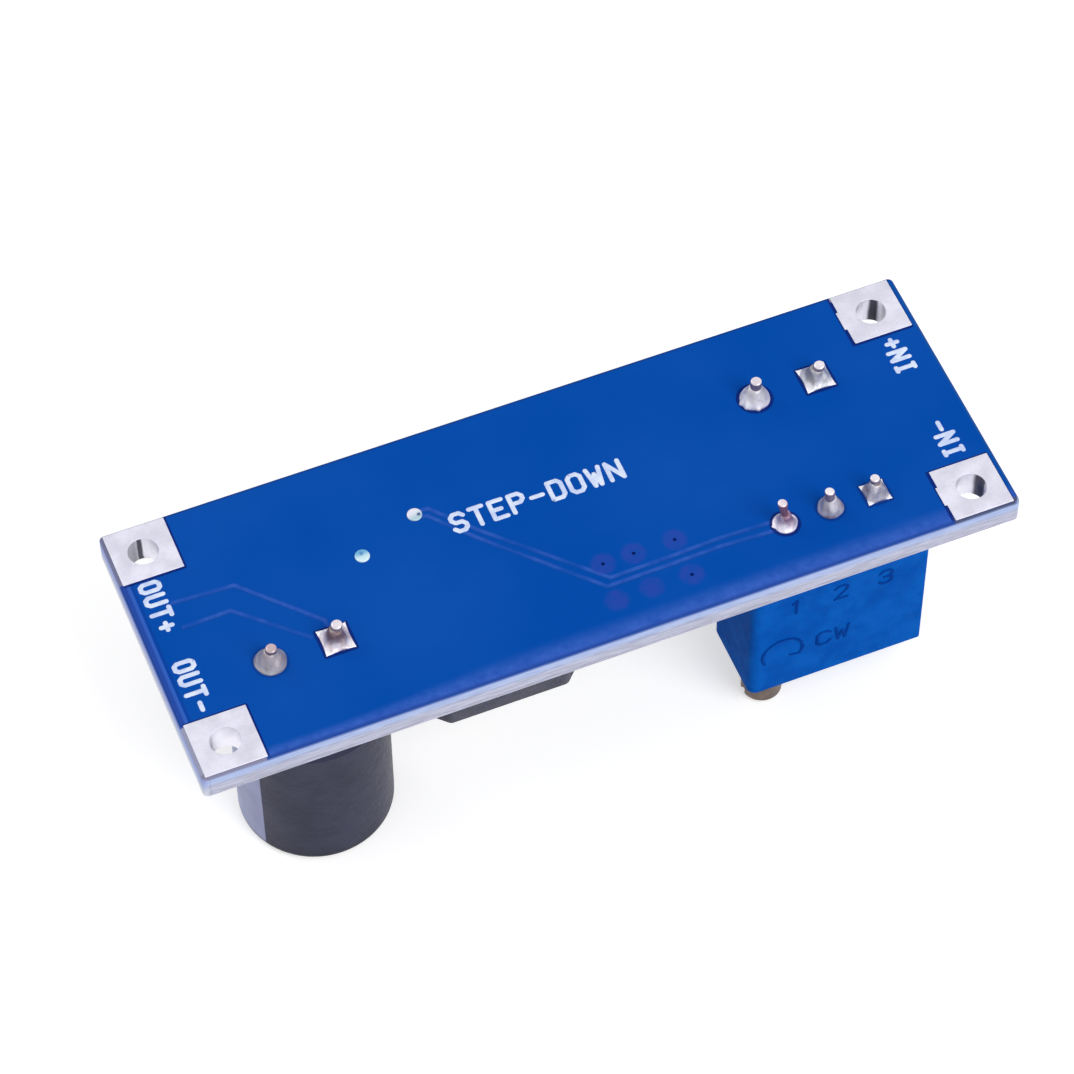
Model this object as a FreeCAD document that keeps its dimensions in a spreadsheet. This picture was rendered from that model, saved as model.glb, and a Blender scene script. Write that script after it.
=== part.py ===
import FreeCAD, Part
import math
import os
import re
import Sketcher
from FreeCAD import Placement, Rotation, Vector

# A buck converter module, lying with its solder side up on the ends of its two tall capacitors.
# X runs along the board from the output end to the input end, Y across it, Z up.
# The origin is under the middle of the board, on the surface that the capacitors stand on.
# Places on the board are given from the output end (along) and from the far long edge (across).

doc = FreeCAD.newDocument("BuckConverterModule")
sheet = doc.addObject("Spreadsheet::Sheet", "Sizes")

# Driving dimensions in millimetres
sizes = {
    "board_length": 44.65,
    "board_width": 16.0,
    "board_thickness": 1.6,
    "board_corner_radius": 0.3,
    "output_end_gap": 3.175,
    "capacitor_to_inductor_gap": 0.675,
    "inductor_to_regulator_gap": 0.7,
    "regulator_to_trimmer_gap": 0.725,
    "input_end_gap": 4.275,
    "far_edge_gap": 0.575,
    "capacitor_to_trimmer_gap": 0.945,
    "near_edge_gap": 1.4,
    "output_capacitor_edge_gap": 1.275,
    "score_bevel": 0.12,
    "copper_thickness": 0.08,
    "plating_thickness": 0.08,
    "terminal_pad_size": 3.3,
    "terminal_hole_diameter": 1.6,
    "output_terminal_inset": 1.85,
    "input_terminal_inset": 2.0,
    "terminal_inset_across": 1.8,
    "track_stub_width": 1.2,
    "track_stub_length": 0.13,
    "via_pad_diameter": 0.8,
    "via_hole_diameter": 0.35,
    "clip_to_via_gap": 0.1,
    "right_via_inset_along": 3.4,
    "right_via_inset_across": 1.75,
    "capacitor_diameter": 8.25,
    "capacitor_height": 11.85,
    "capacitor_seat_gap": 0.1,
    "capacitor_rim_radius": 0.5,
    "sleeve_thickness": 0.1,
    "sleeve_lip": 0.35,
    "sleeve_foot": 0.4,
    "can_wall": 0.3,
    "bead_height": 1.9,
    "bead_width": 1.0,
    "bead_depth": 0.25,
    "bung_height": 3.0,
    "bung_recess": 0.15,
    "vent_length": 4.6,
    "vent_width": 0.3,
    "vent_depth": 0.12,
    "lead_pitch": 3.5,
    "lead_diameter": 0.6,
    "lead_root": 2.0,
    "lead_hole_diameter": 0.95,
    "output_lead_rise": 1.2,
    "input_capacitor_shift": 1.0,
    "input_negative_rise": 1.45,
    "input_positive_rise": 1.1,
    "joint_pad_diameter": 1.75,
    "square_joint_pad_size": 1.62,
    "joint_height": 0.95,
    "joint_collar": 0.08,
    "joint_foot_height": 0.2,
    "inductor_size": 10.3,
    "inductor_corner": 1.9,
    "inductor_height": 5.0,
    "inductor_base_thickness": 0.5,
    "inductor_clip_thickness": 0.15,
    "inductor_clip_width": 3.0,
    "inductor_clip_length": 2.2,
    "inductor_shift": 0.3,
    "drum_diameter": 7.6,
    "drum_gap": 0.35,
    "drum_recess": 0.2,
    "drum_flange": 0.8,
    "drum_post_diameter": 3.6,
    "winding_inset": 0.5,
    "shield_edge_radius": 0.4,
    "regulator_width": 6.6,
    "regulator_length": 6.1,
    "regulator_height": 2.3,
    "regulator_bevel": 0.3,
    "regulator_edge_gap": 1.05,
    "tab_width": 5.3,
    "tab_overhang": 1.1,
    "tab_under_body": 4.6,
    "tab_corner": 0.6,
    "regulator_lead_pitch": 1.27,
    "regulator_lead_width": 0.6,
    "regulator_lead_thickness": 0.5,
    "regulator_lead_height": 1.0,
    "regulator_lead_shoulder": 0.9,
    "regulator_lead_foot": 1.3,
    "regulator_stub": 0.8,
    "diode_length": 4.3,
    "diode_width": 2.6,
    "diode_height": 2.2,
    "diode_bevel": 0.25,
    "inductor_to_diode_gap": 0.7,
    "diode_clip_width": 1.45,
    "diode_clip_thickness": 0.2,
    "diode_clip_reach": 0.45,
    "diode_clip_foot": 1.2,
    "chip_end_step": 0.03,
    "chip_end_length": 0.4,
    "large_chip_length": 3.2,
    "large_chip_width": 1.6,
    "large_chip_height": 1.2,
    "medium_chip_length": 2.0,
    "medium_chip_width": 1.25,
    "medium_chip_height": 0.85,
    "small_chip_length": 1.6,
    "small_chip_width": 0.8,
    "small_chip_height": 0.45,
    "capacitor_to_chip_gap": 2.2,
    "bypass_edge_gap": 2.6,
    "inductor_to_divider_gap": 0.9,
    "trimmer_length": 9.95,
    "trimmer_width": 4.83,
    "trimmer_height": 10.03,
    "trimmer_standoff": 0.3,
    "trimmer_foot_size": 1.0,
    "trimmer_screw_corner_radius": 0.5,
    "trimmer_corner_radius": 0.15,
    "trimmer_end_radius": 0.1,
    "trimmer_wall": 0.6,
    "trimmer_end_wall": 1.5,
    "trimmer_pin_to_face": 1.95,
    "trimmer_pin_pitch": 2.54,
    "trimmer_pin_diameter": 0.52,
    "trimmer_pin_hole": 0.85,
    "trimmer_pin_pad": 1.42,
    "first_pin_rise": 1.85,
    "second_pin_rise": 1.6,
    "third_pin_rise": 1.2,
    "pin_tip": 0.12,
    "screw_inset": 1.27,
    "screw_head_diameter": 2.19,
    "screw_protrusion": 1.5,
    "screw_head_sunk": 0.5,
    "screw_head_edge": 0.2,
    "screw_shaft_diameter": 1.0,
    "screw_clearance": 0.06,
    "screw_slot_width": 0.45,
    "screw_slot_depth": 0.6,
    "screw_foot_gap": 0.3,
    "seal_ring_section": 0.36,
    "wheel_diameter": 5.6,
    "wheel_thickness": 0.9,
    "wheel_tooth_depth": 0.3,
    "wheel_bore": 1.2,
    "wheel_clearance": 0.05,
    "wheel_mesh_gap": 0.1,
    "wheel_boss_length": 1.0,
    "wiper_thickness": 0.12,
    "wiper_outer_diameter": 3.4,
    "wiper_finger_width": 0.6,
    "element_thickness": 0.6,
    "element_gap": 0.1,
    "seal_thickness": 1.2,
    "seal_recess": 0.2,
    "pin_wheel_gap": 0.2,
}
for row, (alias, number) in enumerate(sizes.items(), start=1):
    sheet.set(f"A{row}", alias.replace("_", " "))
    sheet.set(f"B{row}", str(number))
    sheet.setAlias(f"B{row}", alias)
doc.recompute()

WHEEL_TEETH = 29
BOARD_UNDERSIDE = "(capacitor_height + capacitor_seat_gap)"
BOARD_TOP = "(capacitor_height + capacitor_seat_gap + board_thickness)"
exported = []

# Places on the board: the big parts share out what they leave free along it and across it
PARTS_LENGTH = "capacitor_diameter + inductor_size + regulator_width + trimmer_length"
GAPS_ALONG = ("output_end_gap + capacitor_to_inductor_gap + inductor_to_regulator_gap"
              " + regulator_to_trimmer_gap + input_end_gap")
GAPS_ACROSS = "far_edge_gap + capacitor_to_trimmer_gap + near_edge_gap"
STRETCH_ALONG = f"((board_length - ({PARTS_LENGTH})) / ({GAPS_ALONG}))"
STRETCH_ACROSS = f"((board_width - capacitor_diameter - trimmer_width) / ({GAPS_ACROSS}))"

OUTPUT_CAPACITOR_ALONG = f"({STRETCH_ALONG} * output_end_gap + capacitor_diameter / 2)"
OUTPUT_CAPACITOR_ACROSS = (f"(board_width - {STRETCH_ACROSS} * output_capacitor_edge_gap"
                           " - capacitor_diameter / 2)")
INDUCTOR_EDGE = f"({STRETCH_ALONG} * (output_end_gap + capacitor_to_inductor_gap) + capacitor_diameter)"
INDUCTOR_ALONG = f"({INDUCTOR_EDGE} + inductor_size / 2)"
INDUCTOR_ACROSS = "(board_width / 2 + inductor_shift)"
REGULATOR_EDGE = f"({INDUCTOR_EDGE} + inductor_size + {STRETCH_ALONG} * inductor_to_regulator_gap)"
REGULATOR_ALONG = f"({REGULATOR_EDGE} + regulator_width / 2)"
REGULATOR_ACROSS = "(regulator_edge_gap + tab_overhang + regulator_length / 2)"
REGULATOR_TOES = f"({REGULATOR_ACROSS} + regulator_length / 2 + regulator_lead_shoulder + regulator_lead_foot)"
TRIMMER_ALONG = f"(board_length - {STRETCH_ALONG} * input_end_gap - trimmer_length / 2)"
TRIMMER_ACROSS = f"(board_width - {STRETCH_ACROSS} * near_edge_gap - trimmer_pin_to_face)"
INPUT_CAPACITOR_ALONG = f"({TRIMMER_ALONG} + input_capacitor_shift)"
INPUT_CAPACITOR_ACROSS = f"({STRETCH_ACROSS} * far_edge_gap + capacitor_diameter / 2)"

# The small parts lie beside the big ones or midway between their neighbours
DIODE_ALONG = (f"({INDUCTOR_EDGE} + inductor_size + inductor_to_diode_gap"
               " + diode_clip_reach + diode_length / 2)")
DIODE_ACROSS = f"(({REGULATOR_TOES} + board_width) / 2)"
OUTPUT_CHIP_ACROSS = (f"({OUTPUT_CAPACITOR_ACROSS} - capacitor_diameter / 2"
                      " - capacitor_to_chip_gap - large_chip_width / 2)")
BYPASS_CHIP_ALONG = (f"(({REGULATOR_EDGE} + regulator_width + {INPUT_CAPACITOR_ALONG}"
                     " - capacitor_diameter / 2) / 2)")
BYPASS_CHIP_ACROSS = "(bypass_edge_gap + medium_chip_length / 2)"
DIVIDER_ACROSS = (f"({INDUCTOR_ACROSS} - inductor_size / 2 - inductor_to_divider_gap"
                  " - small_chip_width / 2)")
INPUT_END_ALONG = f"(({INPUT_CAPACITOR_ALONG} + capacitor_diameter / 2 + board_length) / 2)"
PAD_REACH = "(terminal_inset_across + terminal_pad_size / 2)"
INPUT_END_GAP = f"((board_width - 2 * {PAD_REACH} - large_chip_length - small_chip_length) / 3)"
INPUT_CHIP_ACROSS = f"({PAD_REACH} + {INPUT_END_GAP} + large_chip_length / 2)"
FEEDBACK_ACROSS = f"(board_width - {PAD_REACH} - {INPUT_END_GAP} - small_chip_length / 2)"
LEFT_VIA_ACROSS = (f"({INDUCTOR_ACROSS} - inductor_clip_width / 2 - clip_to_via_gap"
                   " - via_pad_diameter / 2)")
RIGHT_VIA_ALONG = f"({INDUCTOR_EDGE} + right_via_inset_along)"
RIGHT_VIA_ACROSS = f"({INDUCTOR_ACROSS} - inductor_size / 2 + right_via_inset_across)"


# Shared ways of drawing


def with_sheet(text):
    """Write an expression with its size names looked up in the sheet."""
    return re.sub(r"[a-z][a-z_]+", lambda word: "Sizes." + word.group() if word.group() in sizes else word.group(),
                  text)


def bind(item, property_name, text):
    """Tie a property of an object to an expression in the sheet's sizes."""
    item.setExpression(property_name, with_sheet(text))


def new_body(label):
    """Start a sub-part that is made from sketches."""
    body = doc.addObject("PartDesign::Body", label)
    body.Label = label
    return body


def new_sketch(body, name, plane="XY_Plane", lift=None):
    """Start a sketch on one of the body's own planes, lifted off it where a height is given."""
    sketch = body.newObject("Sketcher::SketchObject", body.Label + "_" + name)
    support = [feature for feature in body.Origin.OriginFeatures if feature.Role == plane][0]
    sketch.AttachmentSupport = (support, [""])
    sketch.MapMode = "FlatFace"
    if lift is not None:
        bind(sketch, "AttachmentOffset.Base.z", lift)
    return sketch


def guide_point(sketch, x, y):
    """Add a construction point at two expressions and return its index."""
    index = sketch.addGeometry(Part.Point(Vector(1.0, 1.0, 0.0)), True)
    for kind, text in (("DistanceX", x), ("DistanceY", y)):
        number = sketch.addConstraint(Sketcher.Constraint(kind, -1, 1, index, 1, 1.0))
        bind(sketch, f"Constraints[{number}]", text)
    return index


def outline(sketch, corners):
    """Draw a closed outline through corners given as (x, y) expressions.

    A corner with two more entries, a radius and +1 or -1, starts an arc to the next corner,
    which turns to the left or to the right of the way that the outline runs.
    """
    points = [guide_point(sketch, corner[0], corner[1]) for corner in corners]
    gauges = {}
    for place, corner in enumerate(corners):
        if len(corner) == 4:
            gauge = sketch.addGeometry(Part.Circle(Vector(0, 0, 0), Vector(0, 0, 1), 1.0), True)
            sketch.addConstraint(Sketcher.Constraint("Coincident", gauge, 3, -1, 1))
            number = sketch.addConstraint(Sketcher.Constraint("Radius", gauge, 1.0))
            bind(sketch, f"Constraints[{number}]", corner[2])
            gauges[place] = gauge
    doc.recompute()
    spots = [Vector(sketch.Geometry[index].X, sketch.Geometry[index].Y, 0) for index in points]
    for place, corner in enumerate(corners):
        following = (place + 1) % len(corners)
        start, end = spots[place], spots[following]
        if place in gauges:
            radius = sketch.Geometry[gauges[place]].Radius
            middle = (start + end) * 0.5
            chord = end - start
            side = Vector(-chord.y, chord.x, 0).normalize() * corner[3]
            centre = middle + side * math.sqrt(max(radius ** 2 - (chord.Length / 2) ** 2, 0.0))
            crown = centre + (middle - centre).normalize() * radius if middle != centre else middle - side * radius
            edge = sketch.addGeometry(Part.Arc(start, crown, end))
            same_way = sketch.getPoint(edge, 1).distanceToPoint(start) < sketch.getPoint(edge, 2).distanceToPoint(start)
            first, second = (1, 2) if same_way else (2, 1)
            sketch.addConstraint(Sketcher.Constraint("Equal", edge, gauges[place]))
        else:
            edge = sketch.addGeometry(Part.LineSegment(start, end))
            first, second = 1, 2
        sketch.addConstraint(Sketcher.Constraint("Coincident", edge, first, points[place], 1))
        sketch.addConstraint(Sketcher.Constraint("Coincident", edge, second, points[following], 1))


def rectangle(sketch, left, bottom, right, top):
    """Draw a rectangle between four expressions."""
    outline(sketch, [(left, bottom), (right, bottom), (right, top), (left, top)])


def circle(sketch, x, y, diameter):
    """Draw a circle at two expressions."""
    centre = guide_point(sketch, x, y)
    index = sketch.addGeometry(Part.Circle(Vector(1, 1, 0), Vector(0, 0, 1), 1.0))
    sketch.addConstraint(Sketcher.Constraint("Coincident", index, 3, centre, 1))
    number = sketch.addConstraint(Sketcher.Constraint("Diameter", index, 2.0))
    bind(sketch, f"Constraints[{number}]", diameter)


def pad(body, sketch, length, midplane=False, backwards=False):
    """Add material from a sketch."""
    feature = body.newObject("PartDesign::Pad", sketch.Name + "_pad")
    feature.Profile = sketch
    feature.Midplane = midplane
    feature.Reversed = backwards
    bind(feature, "Length", length)
    doc.recompute()
    return feature


def pocket(body, sketch, length=None, midplane=False, backwards=False):
    """Cut a sketch out of the body, right through where no length is given."""
    before = body.Shape.Volume
    feature = body.newObject("PartDesign::Pocket", sketch.Name + "_pocket")
    feature.Profile = sketch
    feature.Midplane = midplane
    feature.Reversed = backwards
    if length is None:
        feature.Type = "ThroughAll"
    else:
        bind(feature, "Length", length)
    doc.recompute()
    if body.Shape.Volume >= before:
        raise RuntimeError("the cut " + sketch.Name + " takes nothing away")
    return feature


def revolve(body, sketch):
    """Turn a sketch's profile round its own upright axis."""
    feature = body.newObject("PartDesign::Revolution", sketch.Name + "_turned")
    feature.Profile = sketch
    feature.ReferenceAxis = (sketch, ["V_Axis"])
    feature.Angle = 360.0
    doc.recompute()
    return feature


def ease_edges(body, feature, kind, size, chosen):
    """Round or bevel the feature's edges for which the given test is true."""
    names = [f"Edge{number}" for number, edge in enumerate(feature.Shape.Edges, start=1) if chosen(edge)]
    eased = body.newObject("PartDesign::" + kind, feature.Name + "_" + kind.lower())
    eased.Base = (feature, names)
    bind(eased, "Radius" if kind == "Fillet" else "Size", size)
    doc.recompute()
    return eased


def upright(edge):
    """True for a straight edge along Z."""
    box = edge.BoundBox
    return box.ZLength > 1e-6 and box.XLength < 1e-6 and box.YLength < 1e-6


def upright_on(side):
    """Make a test for upright edges on one side of the middle, left for -1 and right for 1."""
    return lambda edge: upright(edge) and edge.BoundBox.XMin * side > 0


def level_at(height):
    """Make a test for edges that lie level at a height."""
    return lambda edge: edge.BoundBox.ZLength < 1e-6 and abs(edge.BoundBox.ZMin - height) < 1e-6


def primitive(kind, name, place, **lengths):
    """Make one of the plain solids, with its lengths and its place tied to the sheet."""
    item = doc.addObject("Part::" + kind, name)
    for property_name, text in lengths.items():
        bind(item, property_name, text)
    for axis, text in zip("xyz", place):
        bind(item, "Placement.Base." + axis, text)
    return item


def joined(label, pieces):
    """Join plain solids into one."""
    item = doc.addObject("Part::MultiFuse", label)
    item.Shapes = pieces
    item.Refine = True
    item.Label = label
    return item


def without(label, base, tool):
    """Take one solid out of another."""
    item = doc.addObject("Part::Cut", label)
    item.Base = base
    item.Tool = tool
    item.Label = label
    return item


def along_board(distance):
    """X of a place given from the output end."""
    return f"({distance} - board_length / 2)"


def across_board(distance):
    """Y of a place given from the far long edge."""
    return f"(board_width / 2 - ({distance}))"


def put(item, x, y, z, rotation=Rotation()):
    """Place a finished sub-part and list it for export."""
    item.Placement = Placement(Vector(0, 0, 0), rotation)
    for axis, text in zip("xyz", (x, y, z)):
        bind(item, "Placement.Base." + axis, text)
    exported.append(item)


def hang(item, along, across, turn=0.0):
    """Place a sub-part that was drawn standing up on the component side, which faces down."""
    rotation = Rotation(Vector(1, 0, 0), 180).multiply(Rotation(Vector(0, 0, 1), turn))
    put(item, along_board(along), across_board(across), BOARD_UNDERSIDE, rotation)


# Circuit board: glass-epoxy sheet with scored edges and the holes for every lead

TERMINALS = {
    "output_positive_pad": (-1, 1),
    "output_negative_pad": (-1, -1),
    "input_positive_pad": (1, 1),
    "input_negative_pad": (1, -1),
}
VIAS = {
    "left_via": (INDUCTOR_EDGE, LEFT_VIA_ACROSS),
    "right_via": (RIGHT_VIA_ALONG, RIGHT_VIA_ACROSS),
}
CAPACITOR_PLACES = {
    "output_capacitor": (OUTPUT_CAPACITOR_ALONG, OUTPUT_CAPACITOR_ACROSS),
    "input_capacitor": (INPUT_CAPACITOR_ALONG, INPUT_CAPACITOR_ACROSS),
}
LEAD_RISES = {
    "output_capacitor": {"negative": "output_lead_rise", "positive": "output_lead_rise"},
    "input_capacitor": {"negative": "input_negative_rise", "positive": "input_positive_rise"},
}
PIN_RISES = {"first": "first_pin_rise", "second": "second_pin_rise", "third": "third_pin_rise"}


def terminal_place(end, side):
    """X and Y of one of the four corner holes."""
    inset = "input_terminal_inset" if end > 0 else "output_terminal_inset"
    return (f"{end} * (board_length / 2 - {inset})",
            f"{side} * (board_width / 2 - terminal_inset_across)")


def lead_place(capacitor, sign):
    """X and Y of one of a capacitor's two leads."""
    along, across = CAPACITOR_PLACES[capacitor]
    return (along_board(f"{along} + {sign} * lead_pitch / 2"), across_board(across))


def pin_place(step):
    """X and Y of one of the trimmer's three pins."""
    return (along_board(f"{TRIMMER_ALONG} + {step} * trimmer_pin_pitch"), across_board(TRIMMER_ACROSS))


board = new_body("circuit_board")
board_outline = new_sketch(board, "outline", lift=BOARD_UNDERSIDE)
rectangle(board_outline, "-board_length / 2", "-board_width / 2", "board_length / 2", "board_width / 2")
board_sheet = pad(board, board_outline, "board_thickness")
board_rounded = ease_edges(board, board_sheet, "Fillet", "board_corner_radius", upright)
board_faces = (board_rounded.Shape.BoundBox.ZMin, board_rounded.Shape.BoundBox.ZMax)
board_bevelled = ease_edges(board, board_rounded, "Chamfer", "score_bevel",
                            lambda edge: any(level_at(height)(edge) for height in board_faces))
board_holes = new_sketch(board, "holes", lift=BOARD_UNDERSIDE)
for end, side in TERMINALS.values():
    circle(board_holes, *terminal_place(end, side), "terminal_hole_diameter + 2 * plating_thickness")
for along, across in VIAS.values():
    circle(board_holes, along_board(along), across_board(across), "via_hole_diameter + 2 * plating_thickness")
for capacitor in CAPACITOR_PLACES:
    for sign in (-1, 1):
        circle(board_holes, *lead_place(capacitor, sign), "lead_hole_diameter")
for step in (-1, 0, 1):
    circle(board_holes, *pin_place(step), "trimmer_pin_hole")
pocket(board, board_holes, backwards=True)
exported.append(board)


# Terminal pads: tinned copper on both faces of each corner, joined by the plated wall of the hole


def plated_hole(label, x, y, pad_shape, pad_size, hole_diameter, with_stub=False):
    """Make the two faces and the plated wall of one hole, with a stub of bare track where asked."""
    lower_face = f"{BOARD_UNDERSIDE} - copper_thickness"
    faces = []
    for name, level in (("top", BOARD_TOP), ("under", lower_face)):
        if pad_shape == "square":
            corner = (f"{x} - {pad_size} / 2", f"{y} - {pad_size} / 2", level)
            faces.append(primitive("Box", f"{label}_{name}", corner, Length=pad_size, Width=pad_size,
                                   Height="copper_thickness"))
        else:
            faces.append(primitive("Cylinder", f"{label}_{name}", (x, y, level), Radius=f"{pad_size} / 2",
                                   Height="copper_thickness"))
    if with_stub:
        corner = (f"{x} - {pad_size} / 2 - track_stub_length", f"{y} - track_stub_width / 2", BOARD_TOP)
        faces.append(primitive("Box", f"{label}_stub", corner, Length=f"{pad_size} / 2 + track_stub_length",
                               Width="track_stub_width", Height="copper_thickness"))
    wall = primitive("Cylinder", f"{label}_wall", (x, y, BOARD_UNDERSIDE),
                     Radius=f"{hole_diameter} / 2 + plating_thickness", Height="board_thickness")
    hole = primitive("Cylinder", f"{label}_hole", (x, y, lower_face), Radius=f"{hole_diameter} / 2",
                     Height="board_thickness + 2 * copper_thickness")
    solid = without(label, joined(f"{label}_metal", faces + [wall]), hole)
    exported.append(solid)


for label, (end, side) in TERMINALS.items():
    plated_hole(label, *terminal_place(end, side), "square", "terminal_pad_size", "terminal_hole_diameter",
                with_stub=end > 0)
for label, (along, across) in VIAS.items():
    plated_hole(label, along_board(along), across_board(across), "round", "via_pad_diameter", "via_hole_diameter")


# Solder joints: a land, a hollow cone of solder up the lead, the filled hole and a small foot below


def solder_joint(label, x, y, lead, hole, land, square):
    """Make the solder of one lead; its lead's bore is left open for the lead."""
    body = new_body(label)
    if square:
        land_sketch = new_sketch(body, "land")
        rectangle(land_sketch, f"-{land} / 2", f"-{land} / 2", f"{land} / 2", f"{land} / 2")
        pad(body, land_sketch, "copper_thickness")
    profile = new_sketch(body, "profile", "XZ_Plane")
    foot = "-board_thickness - copper_thickness"
    foot_end = "-board_thickness - copper_thickness - joint_foot_height"
    outline(profile, [
        (f"{lead} / 2", foot_end),
        (f"{lead} / 2 + joint_collar", foot_end),
        (f"{land} / 2", foot),
        (f"{land} / 2", "-board_thickness"),
        (f"{hole} / 2", "-board_thickness"),
        (f"{hole} / 2", "0"),
        (f"{land} / 2", "0"),
        (f"{land} / 2", "copper_thickness", f"{land} / 2 + joint_height / 2", -1),
        (f"{lead} / 2 + joint_collar", "joint_height"),
        (f"{lead} / 2", "joint_height"),
    ])
    revolve(body, profile)
    if square:
        bore = new_sketch(body, "bore")
        circle(bore, "0", "0", lead)
        pocket(body, bore, midplane=True)
    put(body, x, y, BOARD_TOP)


for capacitor in CAPACITOR_PLACES:
    for polarity, sign, land in (("negative", -1, "joint_pad_diameter"), ("positive", 1, "square_joint_pad_size")):
        solder_joint(f"{capacitor}_{polarity}_solder", *lead_place(capacitor, sign), "lead_diameter",
                     "lead_hole_diameter", land, polarity == "positive")
for step, name in ((-1, "first"), (0, "second"), (1, "third")):
    solder_joint(f"trimmer_{name}_solder", *pin_place(step), "trimmer_pin_diameter", "trimmer_pin_hole",
                 "trimmer_pin_pad", name == "third")


# Leads and pins: straight wire with a blunt cut tip that stands out of the solder


def cut_wire(label, x, y, low, rise, diameter):
    """Make an upright wire from a level up to a rise above the board's solder side."""
    shank_top = f"{BOARD_TOP} + {rise} - pin_tip"
    shank = primitive("Cylinder", f"{label}_shank", (x, y, low), Radius=f"{diameter} / 2",
                      Height=f"{shank_top} - ({low})")
    tip = primitive("Cone", f"{label}_tip", (x, y, shank_top), Radius1=f"{diameter} / 2",
                    Radius2=f"{diameter} / 2 - pin_tip", Height="pin_tip")
    exported.append(joined(label, [shank, tip]))


# Electrolytic capacitors: aluminium can, shrunk sleeve, rubber bung and two leads each


def bead(radius, level, sign):
    """Corners of the rolled groove at a radius, upwards for sign 1 and downwards for -1."""
    steps = ((-1, 0.5, "0"), (-1, 0.17, "bead_depth"), (1, 0.17, "bead_depth"), (1, 0.5, "0"))
    return [(f"{radius} - {depth}", f"{level} + bead_height + {sign * way} * {share} * bead_width")
            for way, share, depth in steps]


def capacitor(label):
    """Make one capacitor with its base on the board."""
    along, across = CAPACITOR_PLACES[label]
    outside = "capacitor_diameter / 2"
    can_radius = "capacitor_diameter / 2 - sleeve_thickness"
    bore = "capacitor_diameter / 2 - sleeve_thickness - can_wall"
    seat = "capacitor_seat_gap"
    can_foot = "capacitor_seat_gap + sleeve_thickness"
    can_end = "capacitor_seat_gap + capacitor_height - sleeve_thickness"
    sleeve_end = "capacitor_seat_gap + capacitor_height"

    can = new_body(f"{label}_can")
    profile = new_sketch(can, "profile", "XZ_Plane")
    outline(profile, [
        (bore, can_foot),
        (can_radius, can_foot),
        *bead(can_radius, seat, 1),
        (can_radius, f"{can_end} - capacitor_rim_radius"),
        (f"{can_radius} - capacitor_rim_radius", can_end),
        ("0", can_end),
        ("0", f"{seat} + bung_height"),
        (bore, f"{seat} + bung_height"),
        *bead(bore, seat, -1),
    ])
    revolve(can, profile)
    vent = new_sketch(can, "vent", lift=can_end)
    arm, half = "vent_length / 2", "vent_width / 2"
    outline(vent, [
        (arm, f"-{half}"), (arm, half), (half, half), (half, arm), (f"-{half}", arm), (f"-{half}", half),
        (f"-{arm}", half), (f"-{arm}", f"-{half}"), (f"-{half}", f"-{half}"), (f"-{half}", f"-{arm}"),
        (half, f"-{arm}"), (half, f"-{half}"),
    ])
    pocket(can, vent, "vent_depth")
    hang(can, along, across)

    sleeve = new_body(f"{label}_sleeve")
    profile = new_sketch(sleeve, "profile", "XZ_Plane")
    outer_rim = "capacitor_rim_radius + sleeve_thickness"
    outline(profile, [
        (f"{can_radius} - sleeve_foot", seat),
        (outside, seat),
        *bead(outside, seat, 1),
        (outside, f"{sleeve_end} - ({outer_rim})", outer_rim, 1),
        (f"{outside} - ({outer_rim})", sleeve_end),
        (f"{outside} - ({outer_rim}) - sleeve_lip", sleeve_end),
        (f"{outside} - ({outer_rim}) - sleeve_lip", can_end),
        (f"{can_radius} - capacitor_rim_radius", can_end),
        (can_radius, f"{can_end} - capacitor_rim_radius"),
        *bead(can_radius, seat, -1),
        (can_radius, can_foot),
        (f"{can_radius} - sleeve_foot", can_foot),
    ])
    revolve(sleeve, profile)
    hang(sleeve, along, across)

    bung = new_body(f"{label}_bung")
    profile = new_sketch(bung, "profile", "XZ_Plane")
    outline(profile, [
        ("0", f"{can_foot} + bung_recess"),
        (bore, f"{can_foot} + bung_recess"),
        *bead(bore, seat, 1),
        (bore, f"{seat} + bung_height"),
        ("0", f"{seat} + bung_height"),
    ])
    revolve(bung, profile)
    sockets = new_sketch(bung, "sockets", lift=f"{seat} + lead_root")
    for sign in (-1, 1):
        circle(sockets, f"{sign} * lead_pitch / 2", "0", "lead_diameter")
    pocket(bung, sockets)
    hang(bung, along, across)

    for polarity, sign in (("negative", -1), ("positive", 1)):
        cut_wire(f"{label}_{polarity}_lead", *lead_place(label, sign), f"{BOARD_UNDERSIDE} - {seat} - lead_root",
                 LEAD_RISES[label][polarity], "lead_diameter")


for capacitor_label in CAPACITOR_PLACES:
    capacitor(capacitor_label)


# Power inductor: drum core and winding in a ferrite shield, on a base with two clips


def cut_square(sketch, half, corner):
    """Draw a square with its four corners cut off."""
    short = f"({half} - {corner})"
    outline(sketch, [
        (short, f"-({half})"), (half, f"-{short}"), (half, short), (short, half),
        (f"-{short}", half), (f"-({half})", short), (f"-({half})", f"-{short}"), (f"-{short}", f"-({half})"),
    ])


CORE_SEAT = "inductor_clip_thickness + inductor_base_thickness"

inductor_base = new_body("inductor_base")
base_outline = new_sketch(inductor_base, "outline", lift="inductor_clip_thickness")
cut_square(base_outline, "(inductor_size / 2 - inductor_clip_thickness)", "inductor_corner")
pad(inductor_base, base_outline, "inductor_base_thickness")
hang(inductor_base, INDUCTOR_ALONG, INDUCTOR_ACROSS)

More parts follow.
